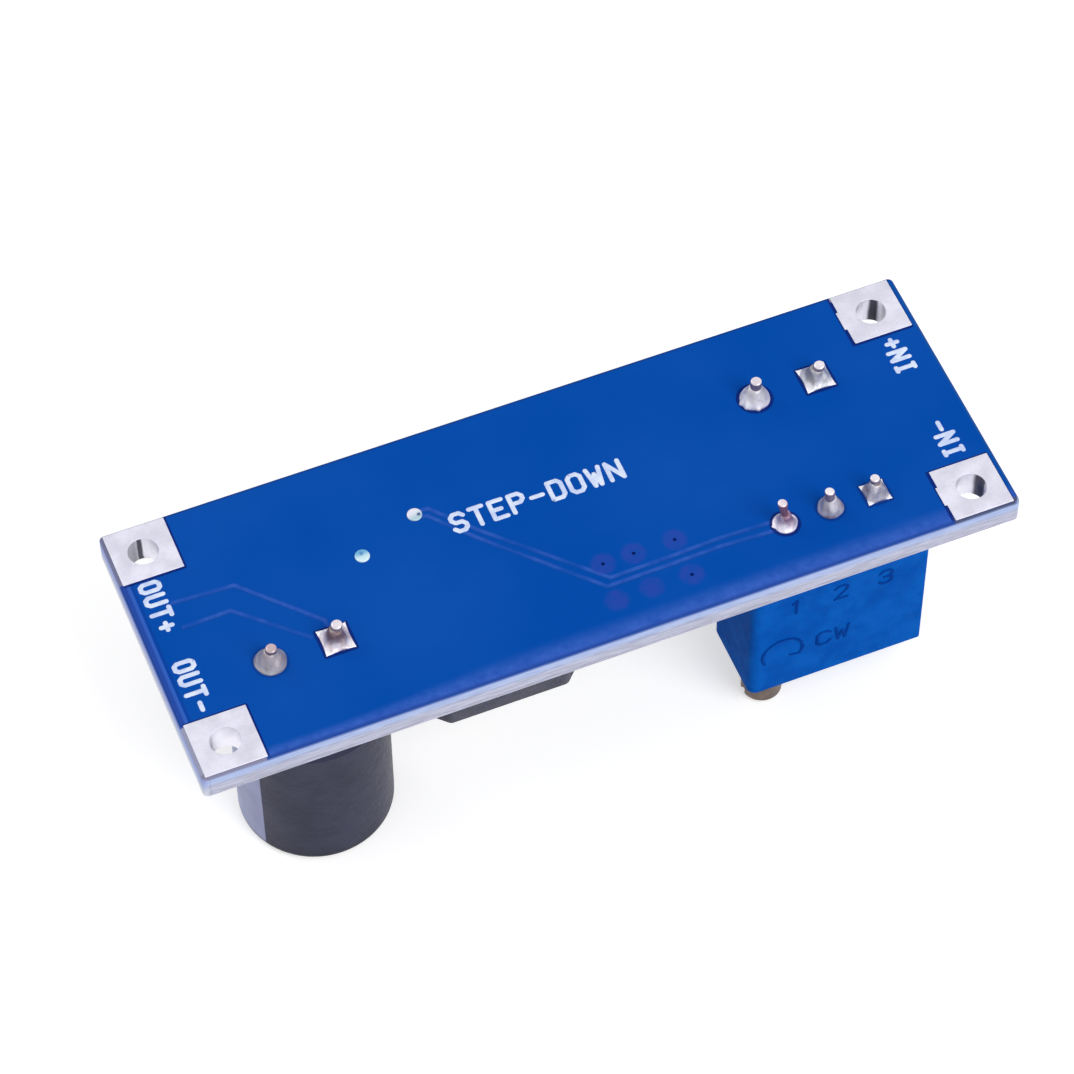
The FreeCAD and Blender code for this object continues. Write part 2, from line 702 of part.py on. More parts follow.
inductor_shield = new_body("inductor_shield")
shield_outline = new_sketch(inductor_shield, "outline", lift=CORE_SEAT)
cut_square(shield_outline, "inductor_size / 2", "inductor_corner")
shield_block = pad(inductor_shield, shield_outline, f"inductor_height - ({CORE_SEAT})")
shield_rounded = ease_edges(inductor_shield, shield_block, "Fillet", "shield_edge_radius", upright)
shield_window = new_sketch(inductor_shield, "window", lift="inductor_height")
circle(shield_window, "0", "0", "drum_diameter + 2 * drum_gap")
pocket(inductor_shield, shield_window)
hang(inductor_shield, INDUCTOR_ALONG, INDUCTOR_ACROSS)

inductor_core = new_body("inductor_core")
core_profile = new_sketch(inductor_core, "profile", "XZ_Plane")
core_top = "inductor_height - drum_recess"
outline(core_profile, [
    ("0", CORE_SEAT),
    ("drum_diameter / 2", CORE_SEAT),
    ("drum_diameter / 2", f"{CORE_SEAT} + drum_flange"),
    ("drum_post_diameter / 2", f"{CORE_SEAT} + drum_flange"),
    ("drum_post_diameter / 2", f"{core_top} - drum_flange"),
    ("drum_diameter / 2", f"{core_top} - drum_flange"),
    ("drum_diameter / 2", core_top),
    ("0", core_top),
])
revolve(inductor_core, core_profile)
hang(inductor_core, INDUCTOR_ALONG, INDUCTOR_ACROSS)

inductor_winding = new_body("inductor_winding")
winding_profile = new_sketch(inductor_winding, "profile", "XZ_Plane")
winding_radius = "drum_diameter / 2 - winding_inset"
rectangle(winding_profile, "drum_post_diameter / 2", f"{CORE_SEAT} + drum_flange",
          winding_radius, f"{core_top} - drum_flange")
revolve(inductor_winding, winding_profile)
hang(inductor_winding, INDUCTOR_ALONG, INDUCTOR_ACROSS)

for clip_name, sign in (("inductor_output_clip", "-1"), ("inductor_switch_clip", "1")):
    clip = new_body(clip_name)
    clip_profile = new_sketch(clip, "profile", "XZ_Plane")
    edge_x = f"{sign} * inductor_size / 2"
    wall_x = f"{sign} * (inductor_size / 2 - inductor_clip_thickness)"
    end_x = f"{sign} * (inductor_size / 2 - inductor_clip_length)"
    outline(clip_profile, [
        (end_x, "0"), (edge_x, "0"), (edge_x, CORE_SEAT), (wall_x, CORE_SEAT),
        (wall_x, "inductor_clip_thickness"), (end_x, "inductor_clip_thickness"),
    ])
    pad(clip, clip_profile, "inductor_clip_width", midplane=True)
    hang(clip, INDUCTOR_ALONG, INDUCTOR_ACROSS)


# Regulator: moulded body over a copper tab, with five leads of which the middle one is cut short

regulator_tab = new_body("regulator_tab")
tab_sketch = new_sketch(regulator_tab, "plate")
tab_back = "(-regulator_length / 2 - tab_overhang)"
tab_front = "(-regulator_length / 2 + tab_under_body)"
outline(tab_sketch, [
    ("-tab_width / 2", tab_front),
    ("-tab_width / 2", f"{tab_back} + tab_corner"),
    ("-tab_width / 2 + tab_corner", tab_back),
    ("tab_width / 2 - tab_corner", tab_back),
    ("tab_width / 2", f"{tab_back} + tab_corner"),
    ("tab_width / 2", tab_front),
])
pad(regulator_tab, tab_sketch, "regulator_lead_thickness")
stub_sketch = new_sketch(regulator_tab, "stub", "YZ_Plane")
lead_low = "regulator_lead_height"
lead_high = "regulator_lead_height + regulator_lead_thickness"
stub_end = "regulator_length / 2 + regulator_stub"
outline(stub_sketch, [
    (f"{tab_front} - 2 * regulator_lead_thickness", "0"),
    (tab_front, "0"),
    (f"{tab_front} + regulator_lead_thickness", lead_low),
    (stub_end, lead_low),
    (stub_end, lead_high),
    (tab_front, lead_high),
    (f"{tab_front} - regulator_lead_thickness", "regulator_lead_thickness"),
    (f"{tab_front} - 2 * regulator_lead_thickness", "regulator_lead_thickness"),
])
pad(regulator_tab, stub_sketch, "regulator_lead_width", midplane=True)
hang(regulator_tab, REGULATOR_ALONG, REGULATOR_ACROSS)

regulator_block = new_body("regulator_block")
block_sketch = new_sketch(regulator_block, "outline")
rectangle(block_sketch, "-regulator_width / 2", "-regulator_length / 2",
          "regulator_width / 2", "regulator_length / 2")
block_pad = pad(regulator_block, block_sketch, "regulator_height")
ease_edges(regulator_block, block_pad, "Chamfer", "regulator_bevel",
           level_at(block_pad.Shape.BoundBox.ZMax))
regulator_block.Placement = regulator_tab.Placement
for axis, text in zip("xyz", (along_board(REGULATOR_ALONG), across_board(REGULATOR_ACROSS), BOARD_UNDERSIDE)):
    bind(regulator_block, "Placement.Base." + axis, text)
regulator_body = without("regulator_body", regulator_block, regulator_tab)
exported.append(regulator_body)

for number, step in ((1, -2), (2, -1), (4, 1), (5, 2)):
    lead = new_body(f"regulator_lead_{number}")
    lead_sketch = new_sketch(lead, "profile", "YZ_Plane")
    face = "regulator_length / 2"
    knee = "regulator_length / 2 + regulator_lead_shoulder"
    toe = f"{knee} + regulator_lead_foot"
    outline(lead_sketch, [
        (face, lead_low),
        (f"{knee} - regulator_lead_thickness", lead_low),
        (knee, "0"),
        (toe, "0"),
        (toe, "regulator_lead_thickness"),
        (f"{knee} + regulator_lead_thickness", "regulator_lead_thickness"),
        (knee, lead_high),
        (face, lead_high),
    ])
    pad(lead, lead_sketch, "regulator_lead_width", midplane=True)
    hang(lead, f"{REGULATOR_ALONG} + {step} * regulator_lead_pitch", REGULATOR_ACROSS)


# Freewheel diode: moulded body with a folded clip at each end

diode_body = new_body("diode_body")
diode_sketch = new_sketch(diode_body, "outline", lift="diode_clip_thickness")
rectangle(diode_sketch, "-diode_length / 2", "-diode_width / 2", "diode_length / 2", "diode_width / 2")
diode_pad = pad(diode_body, diode_sketch, "diode_height - diode_clip_thickness")
ease_edges(diode_body, diode_pad, "Chamfer", "diode_bevel", level_at(diode_pad.Shape.BoundBox.ZMax))
hang(diode_body, DIODE_ALONG, DIODE_ACROSS)

for clip_name, sign in (("diode_anode_clip", "-1"), ("diode_cathode_clip", "1")):
    clip = new_body(clip_name)
    clip_profile = new_sketch(clip, "profile", "XZ_Plane")
    wall = f"{sign} * diode_length / 2"
    reach = f"{sign} * (diode_length / 2 + diode_clip_reach)"
    inner = f"{sign} * (diode_length / 2 + diode_clip_reach - diode_clip_thickness)"
    toe = f"{sign} * (diode_length / 2 + diode_clip_reach - diode_clip_foot)"
    outline(clip_profile, [
        (wall, "diode_height / 2 + diode_clip_thickness / 2"),
        (reach, "diode_height / 2 + diode_clip_thickness / 2"),
        (reach, "0"),
        (toe, "0"),
        (toe, "diode_clip_thickness"),
        (inner, "diode_clip_thickness"),
        (inner, "diode_height / 2 - diode_clip_thickness / 2"),
        (wall, "diode_height / 2 - diode_clip_thickness / 2"),
    ])
    pad(clip, clip_profile, "diode_clip_width", midplane=True)
    hang(clip, DIODE_ALONG, DIODE_ACROSS)


# Chip capacitors and resistors: a ceramic block with a metal cap over each end

CHIPS = {
    "input_chip_capacitor": ("large", INPUT_END_ALONG, INPUT_CHIP_ACROSS, 90),
    "output_chip_capacitor": ("large", OUTPUT_CAPACITOR_ALONG, OUTPUT_CHIP_ACROSS, 0),
    "bypass_chip_capacitor": ("medium", BYPASS_CHIP_ALONG, BYPASS_CHIP_ACROSS, 90),
    "feedback_resistor": ("small", INPUT_END_ALONG, FEEDBACK_ACROSS, 90),
    "divider_resistor": ("small", INDUCTOR_EDGE, DIVIDER_ACROSS, 0),
}


def chip(label, size, along, across, turn):
    """Make one chip part lying on the board."""
    length, width, height = (f"{size}_chip_{name}" for name in ("length", "width", "height"))
    step = "chip_end_step"
    middle = primitive("Box", f"{label}_middle", (f"-{length} / 2 + {step}", f"-{width} / 2 + {step}", step),
                       Length=f"{length} - 2 * {step}", Width=f"{width} - 2 * {step}",
                       Height=f"{height} - 2 * {step}")
    ends = [primitive("Box", f"{label}_{name}_end", (corner, f"-{width} / 2", "0"),
                      Length="chip_end_length", Width=width, Height=height)
            for name, corner in (("left", f"-{length} / 2"), ("right", f"{length} / 2 - chip_end_length"))]
    hang(joined(label, [middle] + ends), along, across, turn)


for chip_label, (size, along, across, turn) in CHIPS.items():
    chip(chip_label, size, along, across, turn)


# Trimmer: moulded housing with a worm screw that turns a toothed wiper wheel over a ceramic element
# The trimmer is drawn about its middle pin, with its flat front towards the near edge of the board

FRONT = "trimmer_pin_to_face"
BACK = "(trimmer_pin_to_face - trimmer_width)"
HOUSING_END = "(trimmer_standoff + trimmer_height)"
SCREW_X = "(-trimmer_length / 2 + screw_inset)"
SCREW_Y = "(trimmer_pin_to_face - screw_inset)"
SEAL_TOP = "(trimmer_standoff + seal_recess + seal_thickness)"
COUNTERBORE = "(screw_head_sunk + seal_ring_section)"
ELEMENT_FRONT = "(-trimmer_pin_diameter / 2)"
ELEMENT_BACK = "(-trimmer_pin_diameter / 2 - element_thickness)"
WHEEL_BACK = f"({SCREW_Y} - wheel_thickness / 2)"
WHEEL_X = f"({SCREW_X} + screw_shaft_diameter / 2 + wheel_mesh_gap + wheel_diameter / 2)"
WHEEL_Z = f"({SEAL_TOP} + {HOUSING_END} - trimmer_end_wall) / 2"
CAVITY_FRONT = f"({FRONT} - trimmer_wall)"

housing = new_body("trimmer_housing")
housing_outline = new_sketch(housing, "outline", lift="trimmer_standoff")
rectangle(housing_outline, "-trimmer_length / 2", BACK, "trimmer_length / 2", FRONT)
housing_block = pad(housing, housing_outline, "trimmer_height")
screw_end = ease_edges(housing, housing_block, "Fillet", "trimmer_screw_corner_radius", upright_on(-1))
housing_rounded = ease_edges(housing, screw_end, "Fillet", "trimmer_corner_radius", upright_on(1))
housing_eased = ease_edges(housing, housing_rounded, "Fillet", "trimmer_end_radius",
                           level_at(housing_rounded.Shape.BoundBox.ZMax))
feet = new_sketch(housing, "feet")
foot_inset = "trimmer_screw_corner_radius"
for left in (f"-trimmer_length / 2 + {foot_inset}", f"trimmer_length / 2 - {foot_inset} - trimmer_foot_size"):
    for low in (BACK, f"{FRONT} - trimmer_wall"):
        rectangle(feet, left, low, f"{left} + trimmer_foot_size", f"{low} + trimmer_wall")
pad(housing, feet, "trimmer_standoff")
cavity = new_sketch(housing, "cavity", lift="trimmer_standoff")
rectangle(cavity, "-trimmer_length / 2 + trimmer_wall", ELEMENT_BACK,
          "trimmer_length / 2 - trimmer_wall", CAVITY_FRONT)
pocket(housing, cavity, "trimmer_height - trimmer_end_wall", backwards=True)
screw_hole = new_sketch(housing, "screw_hole", lift=HOUSING_END)
circle(screw_hole, SCREW_X, SCREW_Y, "screw_shaft_diameter + 2 * screw_clearance")
pocket(housing, screw_hole, "trimmer_end_wall")
screw_mouth = new_sketch(housing, "screw_mouth", lift=HOUSING_END)
circle(screw_mouth, SCREW_X, SCREW_Y, "screw_head_diameter + 2 * screw_clearance")
pocket(housing, screw_mouth, COUNTERBORE)
boss = new_sketch(housing, "boss", "XZ_Plane", lift=f"-({CAVITY_FRONT})")
circle(boss, WHEEL_X, WHEEL_Z, "wheel_bore - 2 * wheel_clearance")
pad(housing, boss, "wheel_boss_length")
hang(housing, TRIMMER_ALONG, TRIMMER_ACROSS)

screw = new_body("trimmer_screw")
screw_profile = new_sketch(screw, "profile", "XZ_Plane")
head_base = f"{HOUSING_END} - screw_head_sunk"
head_end = f"{HOUSING_END} + screw_protrusion"
outline(screw_profile, [
    ("0", f"{SEAL_TOP} + screw_foot_gap"),
    ("screw_shaft_diameter / 2", f"{SEAL_TOP} + screw_foot_gap"),
    ("screw_shaft_diameter / 2", head_base),
    ("screw_head_diameter / 2", head_base),
    ("screw_head_diameter / 2", f"{head_end} - screw_head_edge"),
    ("screw_head_diameter / 2 - screw_head_edge", head_end),
    ("0", head_end),
])
revolve(screw, screw_profile)
slot = new_sketch(screw, "slot", lift=head_end)
rectangle(slot, "-screw_head_diameter", "-screw_slot_width / 2", "screw_head_diameter", "screw_slot_width / 2")
pocket(screw, slot, "screw_slot_depth")
hang(screw, f"{TRIMMER_ALONG} + {SCREW_X}", f"{TRIMMER_ACROSS} + {SCREW_Y}")

ring_radius = "screw_shaft_diameter / 2 + screw_clearance"
ring_outside = primitive("Cylinder", "trimmer_seal_ring_outside", ("0", "0", "0"),
                         Radius=f"{ring_radius} + seal_ring_section", Height="seal_ring_section")
ring_bore = primitive("Cylinder", "trimmer_seal_ring_bore", ("0", "0", "0"), Radius=ring_radius,
                      Height="seal_ring_section")
put(without("trimmer_seal_ring", ring_outside, ring_bore), along_board(f"{TRIMMER_ALONG} + {SCREW_X}"),
    across_board(f"{TRIMMER_ACROSS} + {SCREW_Y}"), f"{BOARD_UNDERSIDE} - ({HOUSING_END} - screw_head_sunk)")

wheel = new_body("trimmer_wheel")
wheel_disc = new_sketch(wheel, "disc")
circle(wheel_disc, "0", "0", "wheel_diameter")
circle(wheel_disc, "0", "0", "wheel_bore")
pad(wheel, wheel_disc, "wheel_thickness")
gap_sketch = new_sketch(wheel, "tooth_gap")
gap_half = f"0.3 * wheel_diameter * pi / {WHEEL_TEETH}"
outline(gap_sketch, [
    (f"-{gap_half}", "wheel_diameter / 2 + wheel_tooth_depth"),
    ("-wheel_tooth_depth / 4", "wheel_diameter / 2 - wheel_tooth_depth"),
    ("wheel_tooth_depth / 4", "wheel_diameter / 2 - wheel_tooth_depth"),
    (gap_half, "wheel_diameter / 2 + wheel_tooth_depth"),
])
tooth_gap = pocket(wheel, gap_sketch, backwards=True)
teeth = wheel.newObject("PartDesign::PolarPattern", "trimmer_wheel_teeth")
teeth.Originals = [tooth_gap]
teeth.Axis = (gap_sketch, ["N_Axis"])
teeth.Angle = 360.0
teeth.Occurrences = WHEEL_TEETH
wheel.Tip = teeth
doc.recompute()
wheel_turn = Rotation(Vector(1, 0, 0), 90)
wheel_place = (along_board(f"{TRIMMER_ALONG} + {WHEEL_X}"), across_board(f"{TRIMMER_ACROSS} + {WHEEL_BACK}"),
               f"{BOARD_UNDERSIDE} - {WHEEL_Z}")
put(wheel, *wheel_place, wheel_turn)

wiper = new_body("trimmer_wiper")
wiper_ring = new_sketch(wiper, "ring")
circle(wiper_ring, "0", "0", "wiper_outer_diameter")
circle(wiper_ring, "0", "0", "wheel_bore")
pad(wiper, wiper_ring, "wiper_thickness", backwards=True)
finger = new_sketch(wiper, "finger")
rectangle(finger, "-wiper_finger_width / 2", "wheel_bore / 2 + wiper_thickness",
          "wiper_finger_width / 2", "wiper_outer_diameter / 2 - wiper_thickness")
pad(wiper, finger, f"{WHEEL_BACK} - {ELEMENT_FRONT} - element_gap", backwards=True)
put(wiper, *wheel_place, wheel_turn)

element = primitive("Box", "trimmer_element", ("0", "0", "0"),
                    Length="trimmer_length - 2 * trimmer_wall - 2 * wheel_clearance",
                    Width="element_thickness",
                    Height=f"{HOUSING_END} - trimmer_end_wall - {SEAL_TOP} - wheel_clearance")
put(element, along_board(f"{TRIMMER_ALONG} - trimmer_length / 2 + trimmer_wall + wheel_clearance"),
    across_board(f"{TRIMMER_ACROSS} + {ELEMENT_FRONT}"),
    f"{BOARD_UNDERSIDE} - ({HOUSING_END} - trimmer_end_wall - wheel_clearance)")

seal = new_body("trimmer_base_seal")
seal_outline = new_sketch(seal, "outline", lift="trimmer_standoff + seal_recess")
rectangle(seal_outline, "-trimmer_length / 2 + trimmer_wall", ELEMENT_BACK,
          "trimmer_length / 2 - trimmer_wall", CAVITY_FRONT)
for step in (-1, 0, 1):
    circle(seal_outline, f"{step} * trimmer_pin_pitch", "0", "trimmer_pin_diameter")
pad(seal, seal_outline, "seal_thickness")
hang(seal, TRIMMER_ALONG, TRIMMER_ACROSS)

for step, name in ((-1, "first"), (0, "second"), (1, "third")):
    cut_wire(f"trimmer_{name}_pin", *pin_place(step),
             f"{BOARD_UNDERSIDE} - ({WHEEL_Z} - wheel_diameter / 2 - pin_wheel_gap)",
             PIN_RISES[name], "trimmer_pin_diameter")


# Check every object and every sub-part, then write one file for each sub-part

doc.recompute()
for item in doc.Objects:
    if "Invalid" in item.State or "Error" in item.State:
        raise RuntimeError(f"{item.Label} failed: {item.State}")
os.makedirs("parts", exist_ok=True)
for item in exported:
    shape = item.Shape
    if shape.isNull() or not shape.isValid() or not shape.Solids:
        raise RuntimeError(f"{item.Label} has no sound solid")
for item in exported:
    item.Shape.exportStep(f"parts/{item.Label}.step")
print(len(exported), "sub-parts written")
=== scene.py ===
import math

import bmesh
import bpy
from mathutils import Matrix, Vector


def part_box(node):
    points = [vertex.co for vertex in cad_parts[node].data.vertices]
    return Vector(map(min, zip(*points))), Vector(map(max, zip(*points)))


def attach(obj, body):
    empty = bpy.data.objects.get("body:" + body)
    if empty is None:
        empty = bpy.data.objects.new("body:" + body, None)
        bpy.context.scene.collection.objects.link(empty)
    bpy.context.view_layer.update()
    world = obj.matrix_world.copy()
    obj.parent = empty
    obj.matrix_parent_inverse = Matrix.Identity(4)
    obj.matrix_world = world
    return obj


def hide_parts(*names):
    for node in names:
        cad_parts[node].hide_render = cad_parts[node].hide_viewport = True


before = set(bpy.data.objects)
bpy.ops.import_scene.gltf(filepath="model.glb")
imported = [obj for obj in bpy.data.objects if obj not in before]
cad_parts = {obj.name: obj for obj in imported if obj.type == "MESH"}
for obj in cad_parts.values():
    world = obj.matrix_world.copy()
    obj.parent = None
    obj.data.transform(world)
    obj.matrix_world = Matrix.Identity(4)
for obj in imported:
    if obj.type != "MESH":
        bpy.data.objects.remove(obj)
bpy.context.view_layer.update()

MM = 0.001


# Camera
# It stands where the photograph was taken from: above the output end, looking down on the solder side.
# Its place comes from the board's corners, the lead ends and the trimmer as they lie in the photograph.

CAMERA_PLACE = Vector((-49.304, -121.937, 197.309)) * MM
CAMERA_ELEVATION = math.radians(54.637)
CAMERA_AZIMUTH = math.radians(-21.487)
CAMERA_ROLL = math.radians(-0.772)
CAMERA_LENS = 147.71
CAMERA_SENSOR = 36.0
CAMERA_NEAREST = 0.01


def add_object(name, data):
    """Put a new object in the scene and return it."""
    made = bpy.data.objects.new(name, data)
    bpy.context.scene.collection.objects.link(made)
    return made


level = Vector((math.cos(CAMERA_AZIMUTH), math.sin(CAMERA_AZIMUTH), 0.0))
backward = Vector((math.sin(CAMERA_AZIMUTH) * math.cos(CAMERA_ELEVATION),
                   -math.cos(CAMERA_AZIMUTH) * math.cos(CAMERA_ELEVATION),
                   math.sin(CAMERA_ELEVATION)))
rightward = level * math.cos(CAMERA_ROLL) + backward.cross(level) * math.sin(CAMERA_ROLL)
upward = backward.cross(rightward)
lens = bpy.data.cameras.new("camera")
lens.sensor_fit = "HORIZONTAL"
lens.sensor_width = CAMERA_SENSOR
lens.lens = CAMERA_LENS
lens.clip_start = CAMERA_NEAREST
camera = add_object("camera", lens)
camera.matrix_world = (Matrix.Translation(CAMERA_PLACE) @ Matrix((rightward, upward, backward)).transposed().to_4x4())
bpy.context.scene.camera = camera
bpy.context.scene.view_settings.view_transform = "Standard"


# Studio
# A white table under a pale sky, with one large soft lamp in front of the module and a weak one behind.
# The camera, metal and clear surfaces see the table and the sky white; the table keeps a soft shadow.

FLOOR_SIZE = 1.6
FLOOR_SHADE = 0.76
FLOOR_LIFT = 0.5
SKY_STRENGTH = 0.62
LAMPS = (
    ("front_lamp", (0.16, -0.34, 0.36), 0.34, 1.25),
    ("back_lamp", (-0.22, 0.30, 0.30), 0.30, 0.35),
)


def add_node(tree, kind, **settings):
    """Add a shader node and set its options."""
    node = tree.nodes.new("ShaderNode" + kind)
    for option, value in settings.items():
        setattr(node, option, value)
    return node


def is_socket(value):
    """Tell a socket of a node from a plain value."""
    return isinstance(value, bpy.types.NodeSocket)


def feed(socket, value):
    """Link a socket to another one, or give it a plain value."""
    if is_socket(value):
        socket.id_data.links.new(value, socket)
    else:
        socket.default_value = value


def worked_out(kind, values, **settings):
    """Add a node to the tree that its values come from, feed its first inputs and return it."""
    tree = next(value.id_data for value in values if is_socket(value))
    node = add_node(tree, kind, **settings)
    for socket, value in zip(node.inputs, values):
        feed(socket, value)
    return node


def maths(operation, first, second=0.0, clamp=False):
    """Add a Math node and return what it puts out."""
    return worked_out("Math", (first, second), operation=operation, use_clamp=clamp).outputs[0]


def times(first, second, clamp=False):
    """One value times another."""
    return maths("MULTIPLY", first, second, clamp=clamp)


def plus(first, second):
    """One value plus another."""
    return maths("ADD", first, second)


def minus(first, second):
    """One value less another."""
    return maths("SUBTRACT", first, second)


def larger(first, second):
    """The larger of two values."""
    return maths("MAXIMUM", first, second)


def size_of(value):
    """A value without its sign."""
    return maths("ABSOLUTE", value)


def white_to_the_eye(tree):
    """A mask that is 1 for the camera and for what shows in metal or through clear plastic."""
    path = add_node(tree, "LightPath")
    seen = larger(path.outputs["Is Camera Ray"], path.outputs["Is Glossy Ray"])
    return larger(seen, path.outputs["Is Transmission Ray"])


world = bpy.data.worlds.new("sky")
bpy.context.scene.world = world
world.use_nodes = True
sky = world.node_tree
sky_shader = sky.nodes["Background"]
feed(sky_shader.inputs["Strength"], plus(times(white_to_the_eye(sky), 1.0 - SKY_STRENGTH), SKY_STRENGTH))
sky_shader.inputs["Color"].default_value = (1.0, 1.0, 1.0, 1.0)

floor_mesh = bpy.data.meshes.new("floor")
shape = bmesh.new()
bmesh.ops.create_grid(shape, x_segments=2, y_segments=2, size=FLOOR_SIZE / 2)
shape.to_mesh(floor_mesh)
shape.free()
floor = add_object("floor", floor_mesh)
floor_paint = bpy.data.materials.new("white_table")
floor_paint.use_nodes = True
table = floor_paint.node_tree
table.nodes.clear()
matt = add_node(table, "BsdfDiffuse")
matt.inputs["Color"].default_value = (FLOOR_SHADE, FLOOR_SHADE, FLOOR_SHADE, 1.0)
lift = add_node(table, "Emission")
feed(lift.inputs["Strength"], times(white_to_the_eye(table), FLOOR_LIFT))
both = add_node(table, "AddShader")
feed(both.inputs[0], matt.outputs[0])
feed(both.inputs[1], lift.outputs[0])
feed(add_node(table, "OutputMaterial").inputs["Surface"], both.outputs[0])
floor_mesh.materials.append(floor_paint)

for lamp_name, lamp_place, lamp_size, lamp_power in LAMPS:
    glow = bpy.data.lights.new(lamp_name, "AREA")
    glow.shape = "DISK"
    glow.size = lamp_size
    glow.energy = lamp_power
    lamp = add_object(lamp_name, glow)
    lamp.matrix_world = (Matrix.Translation(lamp_place)
                         @ Vector(lamp_place).to_track_quat("Z", "Y").to_matrix().to_4x4())


# Circuit board
# Glass-epoxy sheet with copper on both faces under a blue solder mask, scored and snapped out of a panel.
# Over copper the mask is deep blue; over bare laminate, at the rim and beside the tracks, it is lilac.

BOARD_LOW, BOARD_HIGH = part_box("circuit_board")
BOARD_TOP = BOARD_HIGH.z
BOARD_UNDERSIDE = BOARD_LOW.z
BOARD_HALF_LENGTH = (BOARD_HIGH.x - BOARD_LOW.x) / 2 / MM
BOARD_HALF_WIDTH = (BOARD_HIGH.y - BOARD_LOW.y) / 2 / MM

NEAR_RIM_NARROW = 0.8
NEAR_RIM_WIDE = 1.35
NEAR_RIM_WIDENS = (-16.0, -4.0)
OUTPUT_RIM = 0.42
FAR_RIM = 0.3
INPUT_RIM = 0.22
PAD_RIM = 0.32
PAD_RIMS = (
    ("output_positive_pad", "output", (122, 124, 156)),
    ("output_positive_pad", "far", (190, 189, 194)),
    ("output_negative_pad", "output", (160, 162, 188)),
    ("output_negative_pad", "near", (138, 136, 165)),
    ("input_positive_pad", "far", (190, 189, 194)),
    ("input_negative_pad", "near", (78, 86, 122)),
)
SNAPPED_LINES = ((0.18, 0.22), (-0.5, 0.32))
SMEARED_LEVELS = (0.62, 0.76)
COPPER_EDGE = 0.09
COPPER_RELIEF = 0.035
TRACK_GAP_WIDTH = 0.13
TRACK_GAPS = (
    ((15.9, 4.75), (16.3, 4.8), (18.3, 7.15), (23.3, 12.35), (26.9, 12.3), (29.3, 12.2), (32.2, 12.3)),
    ((15.8, 5.15), (16.1, 5.2), (17.95, 7.45), (22.95, 12.8), (26.9, 12.75), (29.3, 12.7), (32.2, 12.85)),
    ((2.19, 5.34), (5.44, 5.5), (8.95, 9.25), (9.0, 9.7)),
    ((2.23, 6.95), (4.75, 6.9), (7.95, 9.97)),
)
COVERED_VIAS = ((23.26, 11.42), (24.96, 11.41), (27.23, 11.42), (27.19, 13.75), (23.05, 13.78), (25.0, 13.7))
OPEN_DIMPLES = 4
COVERED_VIA_RADIUS = 0.78
COVERED_VIA_DIMPLE = 0.12
# Round each land the copper is etched back; the dark ring painted there is painted shade.
SHADED_SURROUND_WIDTH = 0.13
SOLDER_REACH = {"trimmer_third": 0.93}
FAINT_SHADED_SURROUNDS = {"output_capacitor_negative": 0.3, "trimmer_second": 0.45, "trimmer_third": 0.6}


def colour(red, green, blue):
    """A shade as it looks on a screen, from 0 to 255, in the four values that a shader takes."""
    shades = (red / 255, green / 255, blue / 255)
    return tuple(c / 12.92 if c <= 0.04045 else ((c + 0.055) / 1.055) ** 2.4 for c in shades) + (1.0,)


def new_group(name, inputs, outputs):
    """Start a node group with named sockets and return its tree, its inputs and its end node."""
    tree = bpy.data.node_groups.new(name, "ShaderNodeTree")
    for socket_name, kind in inputs.items():
        tree.interface.new_socket(socket_name, in_out="INPUT", socket_type="NodeSocket" + kind)
    for socket_name, kind in outputs.items():
        tree.interface.new_socket(socket_name, in_out="OUTPUT", socket_type="NodeSocket" + kind)
    start = tree.nodes.new("NodeGroupInput")
    end = tree.nodes.new("NodeGroupOutput")
    return tree, start.outputs, end.inputs


def use_group(tree, group, **values):
    """Place a node group with its values and return its outputs; an underscore stands for a space."""
    node = tree.nodes.new("ShaderNodeGroup")
    node.node_tree = group
    for name, value in values.items():
        feed(node.inputs[name.replace("_", " ")], value)
    return node.outputs


def mixed(mask, first, second):
    """Mix two paints by a mask: sockets, colours of four values or shades of three from 0 to 255."""
    node = worked_out("Mix", (mask,), data_type="RGBA", clamp_factor=True)
    for socket, paint in zip(node.inputs[6:], (first, second)):
        feed(socket, paint if is_socket(paint) or len(paint) == 4 else colour(*paint))
    return node.outputs[2]


def ramped(value, low, high, low_result=0.0, high_result=1.0):
    """Turn a value that runs from low to high into a smooth one between two results."""
    numbers = (value, low, high, low_result, high_result)
    return worked_out("MapRange", numbers, interpolation_type="SMOOTHSTEP", clamp=True).outputs[0]


def faded(value, low, high, strength=1.0):
    """A mask that has its full strength below low and none above high."""
    return ramped(value, low, high, strength, 0.0)


def layered(under, *coats):
    """Lay coats over a paint, each a mask with another paint."""
    for mask, coat in coats:
        under = mixed(mask, under, coat)
    return under


def noise(place, scale, detail=3.0, roughness=0.55):
    """Soft random spots; the scale is in spots per millimetre."""
    node = worked_out("TexNoise", (place,))
    feed(node.inputs["Scale"], scale)
    node.inputs["Detail"].default_value = detail
    node.inputs["Roughness"].default_value = roughness
    return node.outputs[0]


def place_in_mm(tree, shift=(0.0, 0.0, 0.0)):
    """The point of the surface in millimetres of the model, less a shift."""
    scaled = add_node(tree, "Mapping", vector_type="POINT")
    feed(scaled.inputs["Vector"], add_node(tree, "TexCoord").outputs["Object"])
    scaled.inputs["Scale"].default_value = (1 / MM, 1 / MM, 1 / MM)
    scaled.inputs["Location"].default_value = tuple(-part for part in shift)
    return scaled.outputs[0]


def vector_maths(operation, *vectors):
    """Add a Vector Math node and return its vector, or its number where that is what it works out."""
    node = worked_out("VectorMath", vectors, operation=operation)
    return node.outputs["Value" if operation in ("LENGTH", "DISTANCE", "DOT_PRODUCT") else "Vector"]


def level_part(place):
    """A place without its height."""
    return vector_maths("MULTIPLY", place, (1.0, 1.0, 0.0))


def axes(vector):
    """The three parts of a vector."""
    return worked_out("SeparateXYZ", (vector,)).outputs


